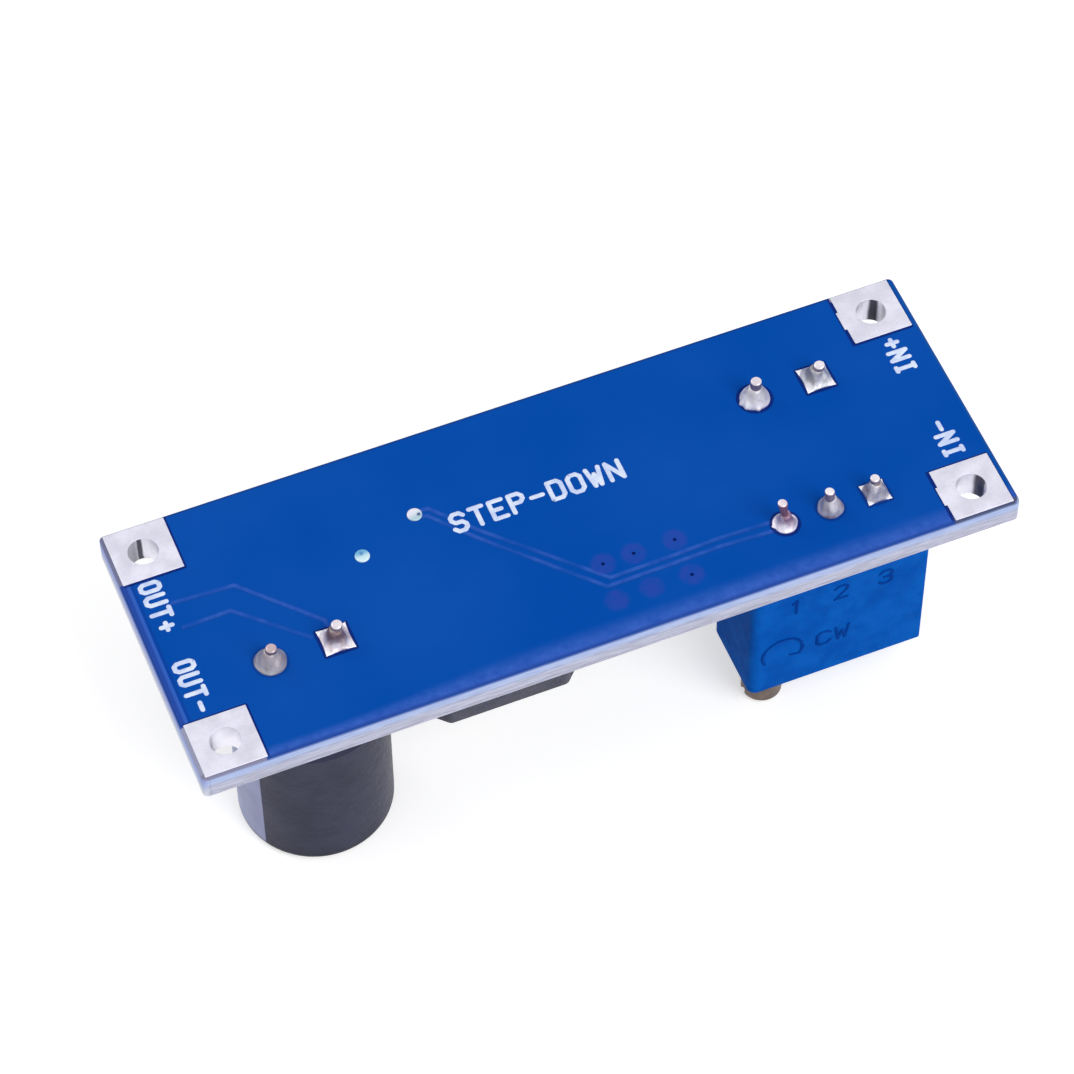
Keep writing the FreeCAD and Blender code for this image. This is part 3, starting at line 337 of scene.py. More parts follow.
def facing_up(tree):
    """How far a face is turned up: 1 on top, 0 on an upright wall and -1 below."""
    return axes(add_node(tree, "NewGeometry").outputs["Normal"])[2]


def make_mottling():
    """Soft and fine spots over a surface, for colour and for roughness."""
    tree, given, result = new_group("mottling", {"Spots": "Float", "Specks": "Float"},
                                    {"Spots": "Float", "Specks": "Float"})
    place = place_in_mm(tree)
    feed(result["Spots"], ramped(noise(place, given["Spots"]), 0.3, 0.7))
    feed(result["Specks"], ramped(noise(place, given["Specks"], 5.0, 0.7), 0.25, 0.75))
    return tree


def make_worn_edges():
    """Rounds the look of sharp edges and masks where hands and tools have rubbed them."""
    tree, given, result = new_group("worn_edges", {"Radius": "Float", "Gain": "Float"},
                                    {"Mask": "Float", "Normal": "Vector"})
    rounded = add_node(tree, "Bevel", samples=6)
    feed(rounded.inputs["Radius"], given["Radius"])
    flat = add_node(tree, "NewGeometry").outputs["Normal"]
    closeness = vector_maths("DOT_PRODUCT", rounded.outputs[0], flat)
    bend = times(minus(1.0, closeness), given["Gain"])
    patchy = ramped(noise(place_in_mm(tree), 2.5, 4.0, 0.6), 0.3, 0.65)
    feed(result["Mask"], times(bend, patchy, clamp=True))
    feed(result["Normal"], rounded.outputs[0])
    return tree


def make_track_gap():
    """A thin straight gap in the copper between two points of the board."""
    tree, given, result = new_group("track_gap",
                                    {"Place": "Vector", "Start": "Vector", "End": "Vector", "Half Width": "Float"},
                                    {"Mask": "Float"})
    run = vector_maths("SUBTRACT", given["End"], given["Start"])
    offset = vector_maths("SUBTRACT", given["Place"], given["Start"])
    along = vector_maths("DOT_PRODUCT", offset, run)
    whole = vector_maths("DOT_PRODUCT", run, run)
    share = maths("DIVIDE", along, whole, clamp=True)
    nearest = worked_out("VectorMath", (run,), operation="SCALE")
    feed(nearest.inputs["Scale"], share)
    distance = vector_maths("DISTANCE", offset, nearest.outputs["Vector"])
    outer = plus(given["Half Width"], COPPER_EDGE)
    feed(result["Mask"], faded(distance, given["Half Width"], outer))
    return tree


MOTTLING = make_mottling()
WORN_EDGES = make_worn_edges()
TRACK_GAP = make_track_gap()


def inside(material):
    """The tree and the shader of a material."""
    return material.node_tree, material.node_tree.nodes["Principled BSDF"]


def new_material(name, metallic=0.0, ior=1.5, **constants):
    """Start a material and return it with its tree and its shader."""
    material = bpy.data.materials.new(name)
    material.use_nodes = True
    tree, shader = inside(material)
    shader.inputs["Metallic"].default_value = metallic
    shader.inputs["IOR"].default_value = ior
    for socket_name, value in constants.items():
        shader.inputs[socket_name.replace("_", " ")].default_value = value
    return material, tree, shader


def lay_skin(shader, paint, roughness, relief, depth_mm, worn_normal=None):
    """Give a shader its colour, its roughness and fine relief of a depth in millimetres."""
    feed(shader.inputs["Base Color"], paint)
    feed(shader.inputs["Roughness"], roughness)
    bump = add_node(shader.id_data, "Bump")
    bump.inputs["Strength"].default_value = 1.0
    bump.inputs["Distance"].default_value = depth_mm * MM
    feed(bump.inputs["Height"], relief)
    if worn_normal is not None:
        feed(bump.inputs["Normal"], worn_normal)
    feed(shader.inputs["Normal"], bump.outputs[0])


def on_board(along, across):
    """A point of the board from its far output corner, in millimetres of the model."""
    return (along - BOARD_HALF_LENGTH, BOARD_HALF_WIDTH - across, 0.0)


def node_middle(node_name):
    """The middle of a node's box, in metres."""
    low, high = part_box(node_name)
    return (low + high) / 2


def place_from(tree, node_name, base=0.0):
    """The point of the surface in millimetres from a node's upright middle line and a base height."""
    middle = node_middle(node_name)
    return place_in_mm(tree, (middle.x / MM, middle.y / MM, base / MM))


def dress(material, *node_names):
    """Give nodes of the frame their finish."""
    for node_name in node_names:
        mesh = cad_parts[node_name].data
        mesh.materials.clear()
        mesh.materials.append(material)


PAD_NODES = ("output_positive_pad", "output_negative_pad", "input_positive_pad", "input_negative_pad")
JOINTS = {
    "output_capacitor_negative": False,
    "output_capacitor_positive": True,
    "input_capacitor_negative": False,
    "input_capacitor_positive": True,
    "trimmer_first": False,
    "trimmer_second": False,
    "trimmer_third": True,
}


def half_size(node_name, axis):
    """Half of a node's box along an axis, in metres."""
    low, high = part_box(node_name)
    return (high[axis] - low[axis]) / 2


def solder_reach(joint):
    """How far a joint's solder reaches from its middle, in metres."""
    return half_size(joint + "_solder", 0) * SOLDER_REACH.get(joint, 1.0)


def outside_land(flat_place, node_name, half, square):
    """How far a point of the board lies outside a square or a round land, in millimetres."""
    middle = node_middle(node_name)
    offset = vector_maths("SUBTRACT", flat_place, (middle.x / MM, middle.y / MM, 0.0))
    if not square:
        return minus(vector_maths("LENGTH", offset), half)
    beyond = vector_maths("SUBTRACT", vector_maths("ABSOLUTE", offset), (half, half, 0.0))
    return vector_maths("LENGTH", vector_maths("MAXIMUM", beyond, (0.0, 0.0, 0.0)))


def make_board_finish():
    """Blue mask over copper and over bare laminate, with raw laminate at the snapped edges."""
    material, tree, shader = new_material("blue_solder_mask", Specular_IOR_Level=0.02)
    place = place_in_mm(tree)
    flat_place = level_part(place)
    along, across, upright = axes(place)
    from_near = plus(across, BOARD_HALF_WIDTH)
    from_far = minus(BOARD_HALF_WIDTH, across)
    from_output = plus(along, BOARD_HALF_LENGTH)
    from_input = minus(BOARD_HALF_LENGTH, along)
    near_rim = ramped(along, *NEAR_RIM_WIDENS, NEAR_RIM_NARROW, NEAR_RIM_WIDE)
    lilac = faded(from_near, 0.3, near_rim)
    output_rim = faded(from_output, OUTPUT_RIM - COPPER_EDGE, OUTPUT_RIM)
    far_rim = faded(from_far, 0.04, FAR_RIM)
    input_rim = faded(from_input, 0.12, INPUT_RIM)
    # Painted highlight where the copper steps down at the output end, and a painted shade line just inside it.
    step = faded(size_of(minus(from_output, OUTPUT_RIM)), 0.05, 0.13, 0.85)
    painted_shade_line = faded(size_of(minus(from_output, OUTPUT_RIM + 0.2)), 0.03, 0.12, 0.6)
    chipped = faded(maths("MINIMUM", from_near, from_output), 0.1, 0.3)

    gaps = halos = dimples = etched_shaded_surround = 0.0
    for start, end in (pair for line in TRACK_GAPS for pair in zip(line, line[1:])):
        gap = use_group(tree, TRACK_GAP, Place=flat_place, Start=on_board(*start), End=on_board(*end),
                        Half_Width=TRACK_GAP_WIDTH / 2)
        gaps = larger(gaps, gap["Mask"])
    for number, spot in enumerate(COVERED_VIAS):
        distance = vector_maths("DISTANCE", flat_place, on_board(*spot))
        halos = larger(halos, faded(distance, COVERED_VIA_RADIUS * 0.6, COVERED_VIA_RADIUS))
        if number < OPEN_DIMPLES:
            dimples = larger(dimples, faded(distance, COVERED_VIA_DIMPLE * 0.6, COVERED_VIA_DIMPLE))
    # Dark rings round the lands: etched in the relief, painted shade in the colour.
    lands = [(pad, half_size(pad, 1), True, 1.0) for pad in PAD_NODES]
    lands += [(joint + "_solder", solder_reach(joint), square, FAINT_SHADED_SURROUNDS.get(joint, 1.0))
              for joint, square in JOINTS.items()]
    for land, half, square, strength in lands:
        outside = outside_land(flat_place, land, half / MM, square)
        etched_shaded_surround = larger(etched_shaded_surround, faded(outside, SHADED_SURROUND_WIDTH * 0.6, SHADED_SURROUND_WIDTH, strength))

    spots, specks = use_group(tree, MOTTLING, Spots=0.1, Specks=3.0)
    clouds = use_group(tree, MOTTLING, Spots=0.6, Specks=1.5)["Specks"]
    gap_strength = ramped(noise(flat_place, 0.5, 1.0), 0.36, 0.58, 0.3, 0.75)
    halo_strength = ramped(clouds, 0.0, 1.0, 0.3, 0.75)
    # Among these coats, step is the painted highlight at the edge of the copper.
    skin = layered(mixed(spots, (2, 74, 168), (12, 79, 173)), (far_rim, (18, 56, 124)),
                   (input_rim, (24, 84, 148)), (painted_shade_line, (14, 60, 152)), (output_rim, (36, 74, 164)),
                   (lilac, mixed(clouds, (40, 84, 178), (58, 100, 194))), (step, (58, 100, 194)),
                   (times(gaps, gap_strength), mixed(clouds, (36, 80, 176), (60, 100, 194))),
                   (times(halos, halo_strength), (46, 70, 168)), (times(etched_shaded_surround, 0.8), (16, 28, 108)),
                   (dimples, (2, 26, 96)), (chipped, (44, 76, 162)))
    edge_paint = layered((36, 74, 156), (far_rim, (18, 56, 124)))
    edges = {"near": (from_near, along, 0), "far": (from_far, along, 0), "output": (from_output, across, 1)}
    for pad, edge, shade in PAD_RIMS:
        from_edge, coordinate, axis = edges[edge]
        middle_mm = node_middle(pad)[axis] / MM
        half = half_size(pad, axis) / MM
        inward = times(minus(coordinate, middle_mm), -math.copysign(1.0, middle_mm))
        if edge == "far":
            inward = size_of(inward)
        strip = times(faded(inward, half - 0.14, half - 0.04), faded(from_edge, PAD_RIM, PAD_RIM * 1.4))
        skin = layered(skin, (strip, shade))
        edge_paint = layered(edge_paint, (strip, shade))

    strands = noise(vector_maths("MULTIPLY", place, (0.8, 0.8, 11.0)), 1.0, 2.0, 0.5)
    streaks = ramped(strands, 0.35, 0.65)
    ragged = times(minus(noise(flat_place, 1.4), 0.5), 0.3)
    level_mm = minus(upright, (BOARD_TOP + BOARD_UNDERSIDE) / 2 / MM)
    scored = ramped(plus(level_mm, times(ragged, 0.6)), -0.1, 0.5)
    raw = layered(mixed(streaks, (182, 183, 202), (202, 204, 226)),
                  (scored, mixed(streaks, (172, 190, 234), (188, 204, 244))))
    for line_level, line_depth in SNAPPED_LINES:
        from_line = size_of(minus(plus(level_mm, ragged), line_level))
        torn = times(faded(from_line, 0.03, 0.1, line_depth), ramped(noise(place, 1.6), 0.35, 0.6))
        raw = layered(raw, (torn, (134, 130, 150)))
    # The output end face is painted paler: painted light for light through the laminate, where the lamps leave this end
    # in shade.
    painted_light_side = layered((238, 243, 252), (ramped(level_mm, -0.7, 0.6), (168, 184, 244)),
                        (times(streaks, 0.2), (210, 212, 226)))
    near_corner = times(faded(from_input, 0.0, 0.4, 0.75), faded(from_near, 0.2, 0.5))
    smeared = times(ramped(level_mm, *SMEARED_LEVELS), minus(1.0, near_corner))
    raw = layered(raw, (faded(from_output, 0.1, 0.35), painted_light_side), (smeared, edge_paint))

    masked = ramped(size_of(facing_up(tree)), 0.9, 0.95)
    walls = minus(1.0, masked)
    roughness = plus(ramped(specks, 0.0, 1.0, 0.34, 0.42), times(walls, 0.4))
    etched = larger(output_rim, larger(gaps, etched_shaded_surround))
    relief = minus(minus(1.0, etched), dimples)
    relief = plus(plus(relief, times(specks, 0.05)), times(strands, walls))
    lay_skin(shader, mixed(masked, raw, skin), roughness, relief, COPPER_RELIEF)
    return material


dress(make_board_finish(), "circuit_board")


# Printed marks
# White epoxy ink screened on the mask: a mark at each terminal pad and the module's job in the middle.
# The ink lies a few hundredths of a millimetre proud and has round stroke ends.

INK_STROKE = 0.26
INK_PROUD = 0.025
GLYPH_CELL = (4.0, 6.0)
GLYPHS = {
    "C": (((4, 5), (3, 6), (1, 6), (0, 5), (0, 1), (1, 0), (3, 0), (4, 1)),),
    "D": (((0, 0), (0, 6), (3, 6), (4, 5), (4, 1), (3, 0), (0, 0)),),
    "E": (((4, 6), (0, 6), (0, 0), (4, 0)), ((0, 3), (3, 3))),
    "I": (((1, 6), (3, 6)), ((2, 6), (2, 0)), ((1, 0), (3, 0))),
    "N": (((0, 0), (0, 6), (4, 0), (4, 6)),),
    "O": (((1, 6), (3, 6), (4, 5), (4, 1), (3, 0), (1, 0), (0, 1), (0, 5), (1, 6)),),
    "P": (((0, 0), (0, 6), (3, 6), (4, 5), (4, 4), (3, 3), (0, 3)),),
    "S": (((4, 5), (3, 6), (1, 6), (0, 5), (0, 4), (1, 3), (3, 3), (4, 2), (4, 1), (3, 0), (1, 0), (0, 1)),),
    "T": (((0, 6), (4, 6)), ((2, 6), (2, 0))),
    "U": (((0, 6), (0, 1), (1, 0), (3, 0), (4, 1), (4, 6)),),
    "W": (((0, 6), (1, 0), (2, 4), (3, 0), (4, 6)),),
    "+": (((0.2, 3), (3.8, 3)), ((2, 4.8), (2, 1.2))),
    "-": (((0.2, 3), (3.8, 3)),),
    "1": (((0.8, 4.8), (2, 6), (2, 0)),),
    "2": (((0, 5), (1, 6), (3, 6), (4, 5), (4, 4), (0, 0), (4, 0)),),
    "3": (((0, 5), (1, 6), (3, 6), (4, 5), (4, 4), (3, 3), (1.5, 3)), ((3, 3), (4, 2), (4, 1), (3, 0), (1, 0), (0, 1))),
}
LEFT_LABELS = {"reading": Vector((0, -1, 0)), "upward": Vector((1, 0, 0))}
RIGHT_LABELS = {"reading": Vector((0, 1, 0)), "upward": Vector((-1, 0, 0))}
LEVEL_LABELS = {"reading": Vector((1, 0, 0)), "upward": Vector((0, 1, 0))}
LABELS = (
    ("OUT+", (0.95, 3.75), (0.5, 0.98), 0.86, LEFT_LABELS),
    ("OUT-", (0.95, 8.95), (0.5, 0.98), 0.86, LEFT_LABELS),
    ("IN+", (43.3, 6.1), (0.52, 0.98), 0.86, RIGHT_LABELS),
    ("IN-", (43.3, 12.0), (0.52, 0.98), 0.86, RIGHT_LABELS),
    ("STEP-DOWN", (17.1, 6.75), (0.68, 1.1), 1.08, LEVEL_LABELS),
)


def new_piece(name, shape, material):
    """Turn a bmesh into a smooth piece that rides on the module."""
    mesh = bpy.data.meshes.new(name)
    shape.to_mesh(mesh)
    shape.free()
    mesh.polygons.foreach_set("use_smooth", [True] * len(mesh.polygons))
    mesh.materials.append(material)
    piece = add_object(name, mesh)
    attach(piece, "module")
    return piece


def add_stroke(shape, points, radius, proud):
    """Add a flat round-ended stroke through points that lie in one plane, seen from +Z."""
    flatten = Matrix.Diagonal((1.0, 1.0, proud / radius, 1.0))
    for start, end in zip(points, points[1:]):
        run = end - start
        turn = run.to_track_quat("Z", "Y").to_matrix().to_4x4()
        made = bmesh.ops.create_cone(shape, segments=12, radius1=radius, radius2=radius, depth=run.length,
                                     matrix=turn)
        bmesh.ops.transform(shape, verts=made["verts"], matrix=Matrix.Translation((start + end) / 2) @ flatten)
    for point in points:
        made = bmesh.ops.create_uvsphere(shape, u_segments=12, v_segments=8, radius=radius)
        bmesh.ops.transform(shape, verts=made["verts"], matrix=Matrix.Translation(point) @ flatten)


def add_word(shape, word, start, size, pitch, stroke, proud, reading, upward):
    """Write a word in strokes; sizes in metres."""
    for number, letter in enumerate(word):
        corner = start + reading * pitch * number
        for line in GLYPHS[letter]:
            points = [corner + reading * size[0] * x / GLYPH_CELL[0] + upward * size[1] * y / GLYPH_CELL[1]
                      for x, y in line]
            add_stroke(shape, points, stroke / 2, proud)


def make_finish(name, dark, light, roughness, spots, specks, depth, worn=None, colour_mask="Spots",
                roughness_mask="Specks", **constants):
    """A mottled skin with fine relief; worn edges have a radius in millimetres, a gain and a colour."""
    material, tree, shader = new_material(name, **constants)
    mottling = use_group(tree, MOTTLING, Spots=spots, Specks=specks)
    skin = mixed(mottling[colour_mask], dark, light)
    normal = None
    if worn:
        edges = use_group(tree, WORN_EDGES, Radius=worn[0] * MM, Gain=worn[1])
        skin = mixed(edges["Mask"], skin, worn[2])
        normal = edges["Normal"]
    lay_skin(shader, skin, ramped(mottling[roughness_mask], 0.0, 1.0, *roughness), mottling["Specks"], depth, normal)
    return material


INK = make_finish("white_ink", (196, 210, 246), (226, 236, 255), (0.45, 0.62), 1.6, 9.0, 0.01, Specular_IOR_Level=0.3)
ink_shape = bmesh.new()
for word, (along, across), size, pitch, lay in LABELS:
    start = Vector(on_board(along, across)) * MM
    start.z = BOARD_TOP
    add_word(ink_shape, word, start, Vector(size) * MM, pitch * MM, INK_STROKE * MM, INK_PROUD * MM, **lay)
new_piece("printed_marks", ink_shape, INK)


# Terminal pads and open vias
# Square copper pads dipped in tin, with a plated hole for a wire, and two small holes that have filled.
# The tin has run to a soft edge with a slightly uneven, satin skin; in the holes it is glossier, painted lighter and
# streaked with painted shade.

PAD_EDGE_ROUND = 0.045
PAD_METALLIC = 0.3
WALL_METALLIC = 0.8
# Streaks of painted shade in each pad's hole: direction, half angle in degrees and darkness.
HOLE_SHADE_STREAKS = {
    "output_positive_pad": ((87, 10, 0.9), (128, 30, 0.45)),
    "output_negative_pad": ((152, 22, 0.25),),
    "input_positive_pad": ((51, 18, 0.92), (0, 16, 0.3)),
    "input_negative_pad": ((24, 26, 0.92),),
}
VIA_SEGMENTS = 24


def make_tin_finish(name, dull, bright, roughness, relief, metallic):
    """Tin that has set with soft waves and fine specks."""
    material, tree, shader = new_material(name, metallic)
    spots, specks = use_group(tree, MOTTLING, Spots=0.9, Specks=7.0)
    worn, normal = use_group(tree, WORN_EDGES, Radius=0.03 * MM, Gain=1.5)
    skin = mixed(plus(times(spots, 0.7), times(specks, 0.3)), dull, bright)
    waves = plus(spots, times(specks, 0.2))
    lay_skin(shader, mixed(worn, skin, (250, 248, 255)), ramped(spots, 0.0, 1.0, *roughness), waves, relief, normal)
    return material


def paint_over(shader, mask, paint):
    """Lay a paint over what a finish has so far."""
    skin = shader.inputs["Base Color"].links[0].from_socket
    feed(shader.inputs["Base Color"], mixed(mask, skin, paint))


def make_pad_finish(node_name, streaks):
    """Dipped tin on the flats; down the hole a glossier tin painted lighter, with streaks of painted shade."""
    material = make_tin_finish(node_name + "_tin", (208, 207, 223), (232, 231, 246), (0.42, 0.55), 0.01, PAD_METALLIC)
    tree, shader = inside(material)
    wall = faded(size_of(facing_up(tree)), 0.2, 0.5)
    place = place_from(tree, node_name)
    # The hole wall is a lighter tin than the flats, painted light, and streaked with painted shade.
    hole_wall_light_and_shade = mixed(noise(place_in_mm(tree), 2.5), (232, 231, 242), (250, 249, 255))
    uneven = times(minus(noise(place_in_mm(tree), 1.2, 1.0), 0.5), 0.16)
    for direction, half_angle, darkness in streaks:
        east, north = math.cos(math.radians(direction)), math.sin(math.radians(direction))
        ahead = vector_maths("DOT_PRODUCT", place, (east, north, 0.0))
        aside = vector_maths("DOT_PRODUCT", place, (-north, east, 0.0))
        off_streak = size_of(plus(maths("ARCTAN2", aside, ahead), uneven))
        half = math.radians(half_angle)
        hole_wall_light_and_shade = layered(hole_wall_light_and_shade, (faded(off_streak, half * 0.6, half * 1.3, darkness), (34, 34, 58)))
    paint_over(shader, wall, hole_wall_light_and_shade)
    feed(shader.inputs["Metallic"], plus(times(wall, WALL_METALLIC - PAD_METALLIC), PAD_METALLIC))
    return material


def round_over(shape, edges, radius_mm, segments):
    """Round edges of a shape over, by a radius in millimetres."""
    bmesh.ops.bevel(shape, geom=edges, offset=radius_mm * MM, offset_type="OFFSET", segments=segments,
                    profile=0.5, affect="EDGES", clamp_overlap=True, material=-1)


def softened_copy(node_name, edge_round):
    """A clean copy of a node's mesh with its edges rounded over."""
    shape = bmesh.new()
    shape.from_mesh(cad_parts[node_name].data)
    bmesh.ops.remove_doubles(shape, verts=shape.verts, dist=1e-7)
    bmesh.ops.dissolve_limit(shape, angle_limit=math.radians(1.0), verts=shape.verts, edges=shape.edges)
    sharp = [edge for edge in shape.edges
             if len(edge.link_faces) == 2 and edge.calc_face_angle() > math.radians(40.0)]
    round_over(shape, sharp, edge_round, 3)
    return shape


for node_name in PAD_NODES:
    piece = new_piece(node_name + "_skin", softened_copy(node_name, PAD_EDGE_ROUND),
                      make_pad_finish(node_name, HOLE_SHADE_STREAKS[node_name]))
    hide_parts(node_name)

# Each via's tin is painted with a lit side and a shaded side, and its pit with painted shade.
VIAS = {
    "left_via": {"shaded": (104, 172, 214), "lit": (208, 234, 242), "lit_side": -90.0,
                 "pinhole": (0.0, 0.14), "inside": (74, 136, 190)},
    "right_via": {"shaded": (176, 206, 216), "lit": (228, 228, 242), "lit_side": 105.0,
                  "pinhole": (0.2, -0.08), "inside": (40, 60, 130)},
}


def make_via_finish(node_name, look):
    """Tin drawn down over a small filled hole, with a painted lit and shaded side and painted shade in its pit."""
    material = make_tin_finish(node_name + "_tin", look["lit"], look["lit"], (0.3, 0.45), 0.01, PAD_METALLIC)
    tree, shader = inside(material)
    flat_place = level_part(place_from(tree, node_name))
    towards = math.radians(look["lit_side"])
    lit = vector_maths("DOT_PRODUCT", flat_place, (math.cos(towards), math.sin(towards), 0.0))
    from_pit = vector_maths("DISTANCE", flat_place, look["pinhole"] + (0.0,))
    feed(shader.inputs["Base Color"],
         layered(look["shaded"], (ramped(lit, -0.25, 0.2), look["lit"]),
                 (faded(from_pit, 0.05, 0.15, 0.9), look["inside"])))
    return material


VIA_PROFILE = ((1.0, 0.0), (1.0, 0.55), (0.93, 0.85), (0.8, 1.0), (0.55, 0.92), (0.3, 0.72), (0.0, 0.62))
for node_name, look in VIAS.items():
    middle = node_middle(node_name)
    via_radius = half_size(node_name, 0)
    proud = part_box(node_name)[1].z - BOARD_TOP
    rise = [Vector((middle.x + via_radius * out, middle.y, BOARD_TOP + proud * up)) for out, up in VIA_PROFILE]
    fall = [Vector((point.x, point.y, BOARD_UNDERSIDE + BOARD_TOP - point.z)) for point in reversed(rise)]
    shape = bmesh.new()
    corners = [shape.verts.new(point) for point in fall + rise]
    edges = [shape.edges.new(pair) for pair in zip(corners, corners[1:])]
    bmesh.ops.spin(shape, geom=corners + edges, cent=middle, axis=(0, 0, 1), angle=2 * math.pi,
                   steps=VIA_SEGMENTS, use_merge=True)
    bmesh.ops.remove_doubles(shape, verts=shape.verts, dist=1e-7)
    bmesh.ops.recalc_face_normals(shape, faces=shape.faces)
    piece = new_piece(node_name + "_fill", shape, make_via_finish(node_name, look))
    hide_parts(node_name)


# Solder joints
# Tin solder that has wetted each land and climbed its lead: hollow cones on the round lands,
# four-cornered tents on the square ones. Below the board a small foot shows where it ran through.

JOINT_GRID = 32
JOINT_SEED = 1.7
LAND_THICKNESS = 0.06
FOOT_SPREAD = 1.25
STEEP_SHARE = 0.75
SAG = 0.15
RIM_WOBBLE = 0.02
TENT_PINCH = 0.08
SPIKE_SPREAD = 0.16
LUMP_HEIGHT = 0.05
# how steep a joint is, how far it climbs its lead, its tone, and its spikes by direction and length
JOINT_HABITS = {
    "output_capacitor_negative": (1.1, 1.0, "dim", ()),
    "output_capacitor_positive": (2.4, 1.0, "stained", ()),
    "input_capacitor_negative": (1.0, 1.0, "white", ((186, 0.14), (212, 0.08), (262, 0.1))),
    "input_capacitor_positive": (1.8, 0.9, "grey", ()),
    "trimmer_first": (2.2, 0.9, "bright", ((178, 0.14),)),
    "trimmer_second": (0.85, 1.0, "dull", ()),
    "trimmer_third": (1.2, 0.95, "dull", ()),
}
# the shades of foot and of the neck, which is flux stain and painted shade, the level where the neck begins, and the
# strength of painted glints and of flux
SOLDER_TONES = {
    "white": ((232, 228, 236), (200, 198, 204), 0.7, 0.85, 0.0),
    "bright": ((234, 228, 240), (150, 118, 142), 0.62, 0.6, 0.0),
    "stained": ((222, 212, 222), (122, 102, 106), 0.66, 0.6, 0.25),
    "grey": ((200, 202, 210), (146, 146, 154), 0.45, 0.55, 0.0),
    "dull": ((186, 184, 198), (160, 158, 170), 0.5, 0.4, 0.6),
    "dim": ((170, 168, 176), (164, 158, 166), 0.5, 0.12, 0.2),
}


def make_solder_finish(joint):
    """Tin solder: bright where it lies thin on the land, darker up the lead with flux stain and painted shade, with
    traces of brown flux, painted glints and a painted highlight at its rim.
    """
    foot, stained_and_shaded_neck, neck_level, painted_glint_strength, flux_strength = SOLDER_TONES[JOINT_HABITS[joint][2]]
    material = make_tin_finish(joint + "_tin", foot, foot, (0.34, 0.5), 0.02, 0.45)
    tree, shader = inside(material)
    place = place_from(tree, joint + "_solder", BOARD_TOP)
    blotches = minus(noise(place, 1.8, 2.0), 0.5)
    level_mm = plus(axes(place)[2], times(blotches, 0.5))
    flux = ramped(noise(place_in_mm(tree, (1.0, 4.0, 0.0)), 1.6, 1.0), 0.54, 0.66, 0.0, flux_strength)
    painted_glints = ramped(noise(place_in_mm(tree, (3.0, 1.0, 0.0)), 1.3, 1.0), 0.5, 0.66, 0.0, painted_glint_strength)
    out_mm = vector_maths("LENGTH", level_part(place))
    reach_mm = solder_reach(joint) / MM
    # The rim of each joint is painted almost white, a painted highlight.
    corners = ramped(out_mm, reach_mm, reach_mm * 1.16, 0.0, 0.85)
    feed(shader.inputs["Base Color"],
         layered(foot, (ramped(level_mm, 0.08, neck_level), stained_and_shaded_neck),
                 (flux, (142, 112, 106)), (painted_glints, (246, 244, 250)), (corners, (252, 250, 255))))
    return material


def spread_at(angle, spikes):
    """How far the rim of a joint is drawn out at an angle."""
    drawn = 0.0
    for degrees, size in spikes:
        turn = math.radians(degrees) - angle
        turn = math.atan2(math.sin(turn), math.cos(turn))
        drawn += size * math.exp(-(turn / SPIKE_SPREAD) ** 2)
    return drawn


def pin_node(joint):
    """The node of the lead or pin that a joint holds."""
    return joint + ("_pin" if joint.startswith("trimmer") else "_lead")


def joint_skin(name, square, seed):
    """One joint's solder as a closed skin round its lead."""
    steep, climb_share, _, spikes = JOINT_HABITS[name]
    low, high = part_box(name + "_solder")
    middle = node_middle(pin_node(name))
    reach = solder_reach(name)
    pin_radius = half_size(pin_node(name), 0)
    climb = (high.z - BOARD_TOP) * climb_share
    start = pin_radius / reach
    shape = bmesh.new()
    made = bmesh.ops.create_grid(shape, x_segments=JOINT_GRID, y_segments=JOINT_GRID, size=1.0)
    for vertex in made["verts"]:
        x, y = vertex.co.x, vertex.co.y
        ring = max(abs(x), abs(y))
        angle = math.atan2(y, x)
        if square:
            evenness = 1.0 - min(abs(x), abs(y)) / max(ring, 1e-6)
            pinch = 1.0 - TENT_PINCH * ring ** 4 * evenness ** 0.5
            x, y = x * pinch, y * pinch
            spread = (abs(x) ** 3 + abs(y) ** 3) ** (1 / 3)
        else:
            radius = math.hypot(x, y)
            squeeze = ring / radius if radius > 0 else 1.0
            wobble = math.sin(3 * angle + seed) + 0.6 * math.sin(5 * angle + 2 * seed)
            drawn = (1.0 + RIM_WOBBLE * ring * wobble) / (1.0 + 1.6 * RIM_WOBBLE)
            drawn += ring ** 6 * (spread_at(angle, spikes) - 0.05 * bool(spikes))
            x, y = x * squeeze * drawn, y * squeeze * drawn
            spread = ring
        share = min(max((spread - start) / (1.0 - start), 0.0), 1.0)
        sag = 1.0 + SAG * math.sin(2 * angle + seed)
        lift = (1.0 - share) ** (steep * sag) * STEEP_SHARE + (1.0 - share) * (1.0 - STEEP_SHARE)
        lumps = math.sin(5.3 * x + 2.1 * seed) * math.sin(4.7 * y + seed) + 0.5 * math.sin(9.1 * x - 7.3 * y)
        height = LAND_THICKNESS * MM + (climb - LAND_THICKNESS * MM) * lift
        height += LUMP_HEIGHT * MM * lumps * 4 * share * (1.0 - share)
        vertex.co = Vector((middle.x + x * reach, middle.y + y * reach, BOARD_TOP + height))
    rim = [edge for edge in shape.edges if edge.is_boundary]
    skirt = bmesh.ops.extrude_edge_only(shape, edges=rim)
    for item in skirt["geom"]:
        if isinstance(item, bmesh.types.BMVert):
            item.co.z = BOARD_TOP
    bmesh.ops.holes_fill(shape, edges=[edge for edge in shape.edges if edge.is_boundary], sides=0)
    drop = BOARD_UNDERSIDE - low.z
    bmesh.ops.create_cone(shape, cap_ends=True, segments=32, radius1=pin_radius * FOOT_SPREAD, radius2=reach,
                          depth=drop, matrix=Matrix.Translation((middle.x, middle.y, BOARD_UNDERSIDE - drop / 2)))
    bmesh.ops.recalc_face_normals(shape, faces=shape.faces)
    return shape


